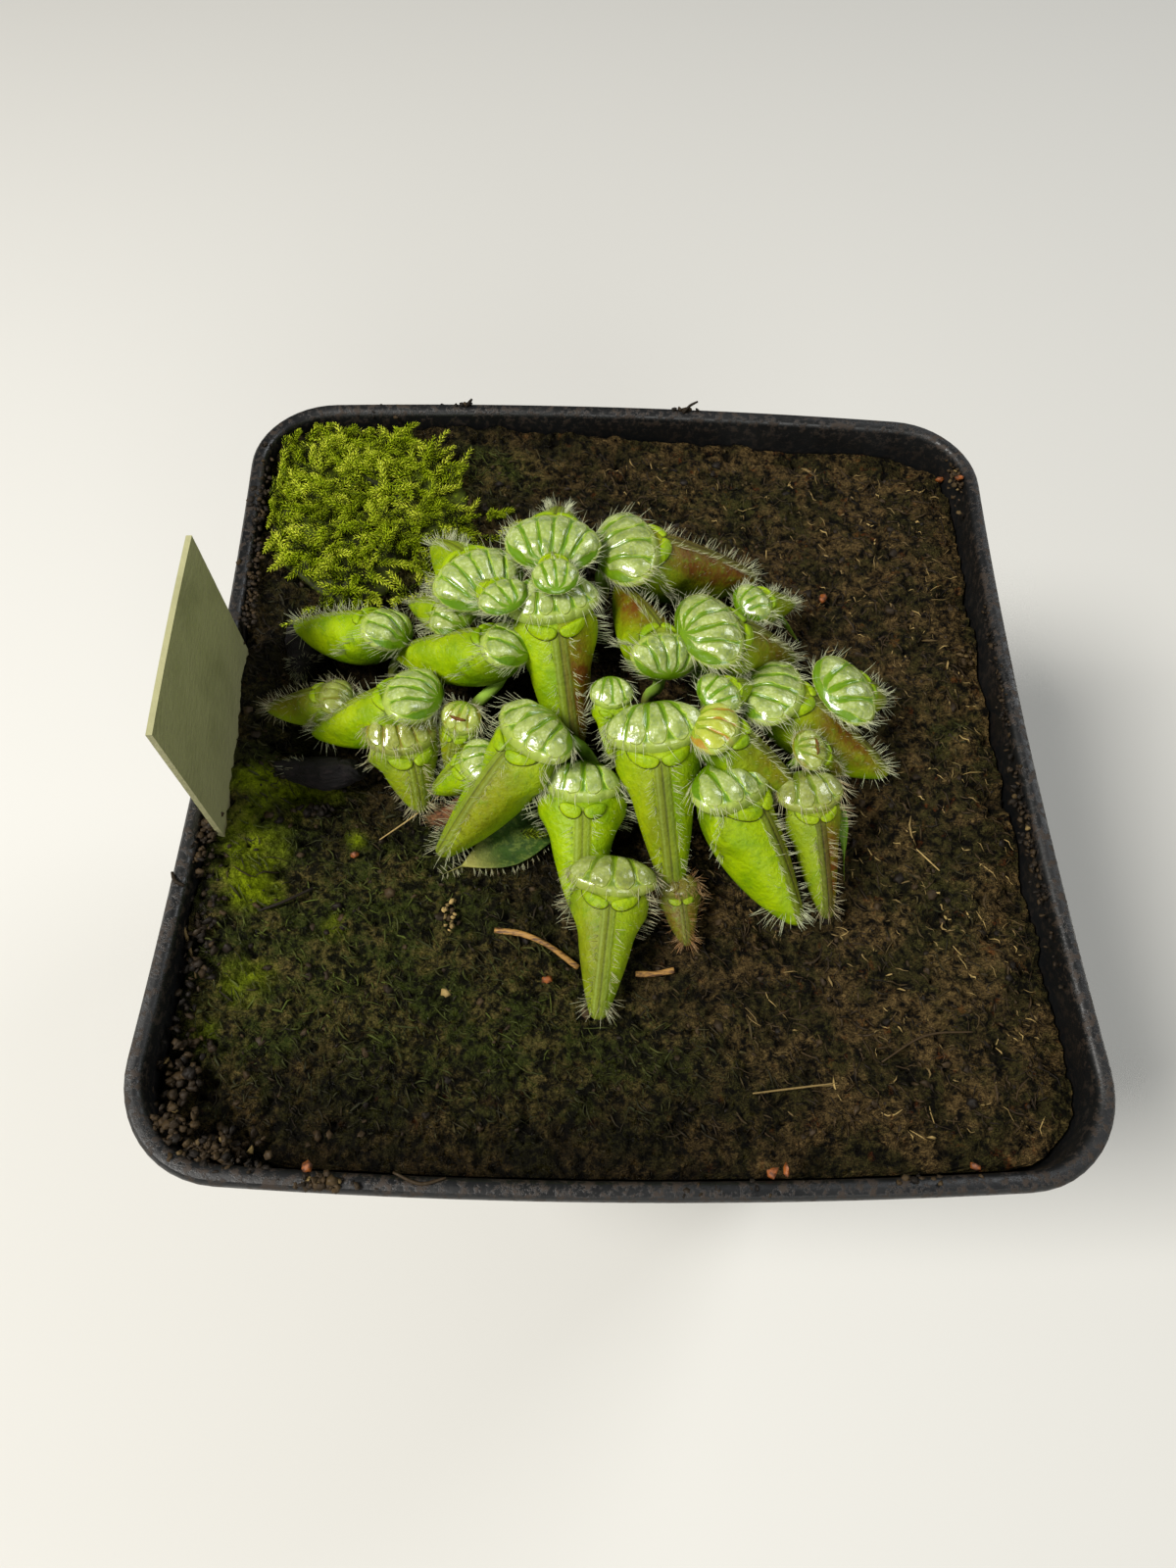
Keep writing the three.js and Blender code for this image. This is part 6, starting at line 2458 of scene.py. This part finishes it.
@dataclass
class PlantLabel(Assembly):
    """A bare card pushed into the peat against the left side of the pot."""

    kinds = (CardFinish,)
    width: float = 22.5
    height: float = 27.0
    thickness: float = 0.6
    depth: float = 6.0
    lean: float = 2.0
    slant: float = 3.0
    turn: float = 3.0
    place: tuple[float, float, float] = (-40.8, -1.8, 75.5)
    curl: float = 0.25
    wear: float = 0.12
    sharp: float = math.radians(40)
    columns: int = 40
    rows: int = 44

    def build(self) -> None:
        """Makes the card."""
        u, v = np.meshgrid(np.linspace(-0.5, 0.5, self.columns) * self.width,
                           np.linspace(0, 1, self.rows) * self.height - self.depth)
        worn = self.wear * np.abs(self.grain.rough(u * 3, v * 3, 1.5, 3) - 0.5)
        u = u - np.where(np.abs(u) > self.width * 0.499, np.sign(u) * worn, 0)
        bow = self.curl * (1 - (2 * u / self.width) ** 2) * smoothstep(v, 0, self.height)
        turn = Matrix.Identity(3)
        for angle, axis in ((self.turn, "Z"), (-self.lean, "Y"), (-self.slant, "X")):
            turn = turn @ Matrix.Rotation(math.radians(angle), 3, axis)
        half = self.thickness / 2 - 0.02
        near, far = (np.stack([side * half - bow * 0.5, u, v], -1) @ np.array(turn).T + np.array(self.place)
                     for side in (1, -1))
        foot = 1 - smoothstep(v, 0.5, 5.5)
        body = Body()
        # face is 1 on the two broad faces, which the finish darkens as painted shade, and 0 on the edges.
        body.grid(near, joined=False, face=1, foot=foot)
        body.grid(far, joined=False, flip=True, face=1, foot=foot)
        body.grid(np.stack([border(near), border(far)]), ends=False, face=0, foot=0)
        card = body.build("card_label", self.finishes)
        card.data.set_sharp_from_angle(angle=self.sharp)
        place(card, Slot.CARD, "plant_label")


@dataclass
class Crown(Assembly):
    """The short rough stem between the stalks."""

    kinds = (FibreFinish,)
    x: float = -3.5
    y: float = 5.5
    z: float = 74.5
    radius: float = 3.6
    half_height: float = 4.0
    knobs: float = 0.12
    bark: float = 0.25
    inset: float = 0.1

    def build(self) -> None:
        """Makes it."""
        fall, turn = np.meshgrid(np.linspace(0.08, math.pi - 0.08, 26), around(36), indexing="ij")
        knob = self.radius * (1 + self.knobs * np.sin(3 * turn + 2 * fall))
        bark = self.bark * (self.grain.rough(turn * 3, fall * 6, 0.8, 3) - 0.5)
        reach = (knob + bark - self.inset) * np.sin(fall)
        points = np.stack([self.x + reach * np.cos(turn), self.y + reach * np.sin(turn),
                           self.z + (self.half_height - self.inset) * np.cos(fall)], -1)
        body = Body()
        body.grid(points, flip=True, tone=0.45, green=0)
        place(body.build("stem_crown", self.finishes), Slot.STEM, "rhizome_crown")


# Floor, light and camera


@dataclass(frozen=True)
class Lamp:
    """A square soft light that faces the plant: its place and side in metres, its power in watts."""

    name: str
    place: tuple[float, float, float]
    side: float
    power: float
    tint: Colour


@dataclass
class Studio:
    """The pale floor, the soft light and the camera."""

    lamps: tuple[Lamp, ...] = (
        Lamp("key", (-0.4, -0.12, 0.6), 0.2, 6.4, (1.0, 0.97, 0.92)),
        Lamp("fill", (0.4, 0.3, 0.5), 0.25, 1.5, (0.96, 0.98, 1.0)),
        Lamp("front", (0.12, -0.6, 0.4), 0.3, 1.6, (1.0, 1.0, 0.96)),
    )
    aim: tuple[float, float, float] = (0.0, 0.0, 0.08)
    room: Colour = (0.95, 0.96, 0.94)
    room_strength: float = 0.11
    camera_place: tuple[float, float, float] = (-6.52, -52.84, 170.86)
    camera_right: tuple[float, float, float] = (0.9994, 0.0046, 0.0345)
    camera_up: tuple[float, float, float] = (-0.0196, 0.8935, 0.4486)
    camera_back: tuple[float, float, float] = (-0.0288, -0.4490, 0.8931)
    lens: float = 22.81
    sensor: float = 36.0

    def floor(self) -> None:
        """Makes the floor under the pot."""
        bpy.ops.mesh.primitive_plane_add(size=6, location=(0, 0, 0))
        floor = bpy.context.object
        floor.name = "pale_floor"
        floor.data.materials.append(FloorFinish().make())

    def lamp(self, lamp: Lamp) -> None:
        """Adds a light.

        Args:
            lamp: its place, size, power and tint.
        """
        data = bpy.data.lights.new(lamp.name, "AREA")
        data.shape, data.size, data.energy, data.color = "SQUARE", lamp.side, lamp.power, lamp.tint
        light = bpy.data.objects.new(lamp.name, data)
        light.location = lamp.place
        light.rotation_euler = (Vector(lamp.place) - Vector(self.aim)).to_track_quat("Z", "Y").to_euler()
        bpy.context.scene.collection.objects.link(light)

    def camera(self) -> None:
        """Sets up the camera where the photograph was taken from."""
        data = bpy.data.cameras.new("camera")
        data.sensor_fit = "AUTO"
        data.sensor_width = self.sensor
        data.lens = self.lens
        data.clip_start = 0.005
        camera = bpy.data.objects.new("camera", data)
        turn = Matrix((self.camera_right, self.camera_up, self.camera_back)).transposed()
        camera.matrix_world = Matrix.Translation(Vector(self.camera_place) * MM) @ turn.to_4x4()
        bpy.context.scene.collection.objects.link(camera)
        bpy.context.scene.camera = camera

    def build(self) -> None:
        """Sets up floor, light and camera."""
        self.floor()
        world = bpy.data.worlds.new("soft_room")
        world.use_nodes = True
        background = world.node_tree.nodes["Background"].inputs
        background["Color"].default_value = (*self.room, 1)
        background["Strength"].default_value = self.room_strength
        bpy.context.scene.world = world
        for lamp in self.lamps:
            self.lamp(lamp)
        self.camera()
        bpy.context.scene.view_settings.view_transform = "Standard"


def main() -> None:
    """Builds every piece in order."""
    logging.basicConfig(level=logging.INFO, format="%(message)s")
    Studio().build()
    draws, grain = np.random.default_rng(SEED), Grain(SEED + 1)
    for kind in (NurseryPot, PeatBed, Litter, PitcherPlant, DeadPitchers, FlatLeaves, StrawBits, MossMat,
                 PlantLabel, Crown):
        part = kind(draws, grain)
        part.dress()
        part.build()


if __name__ == "__main__":
    main()
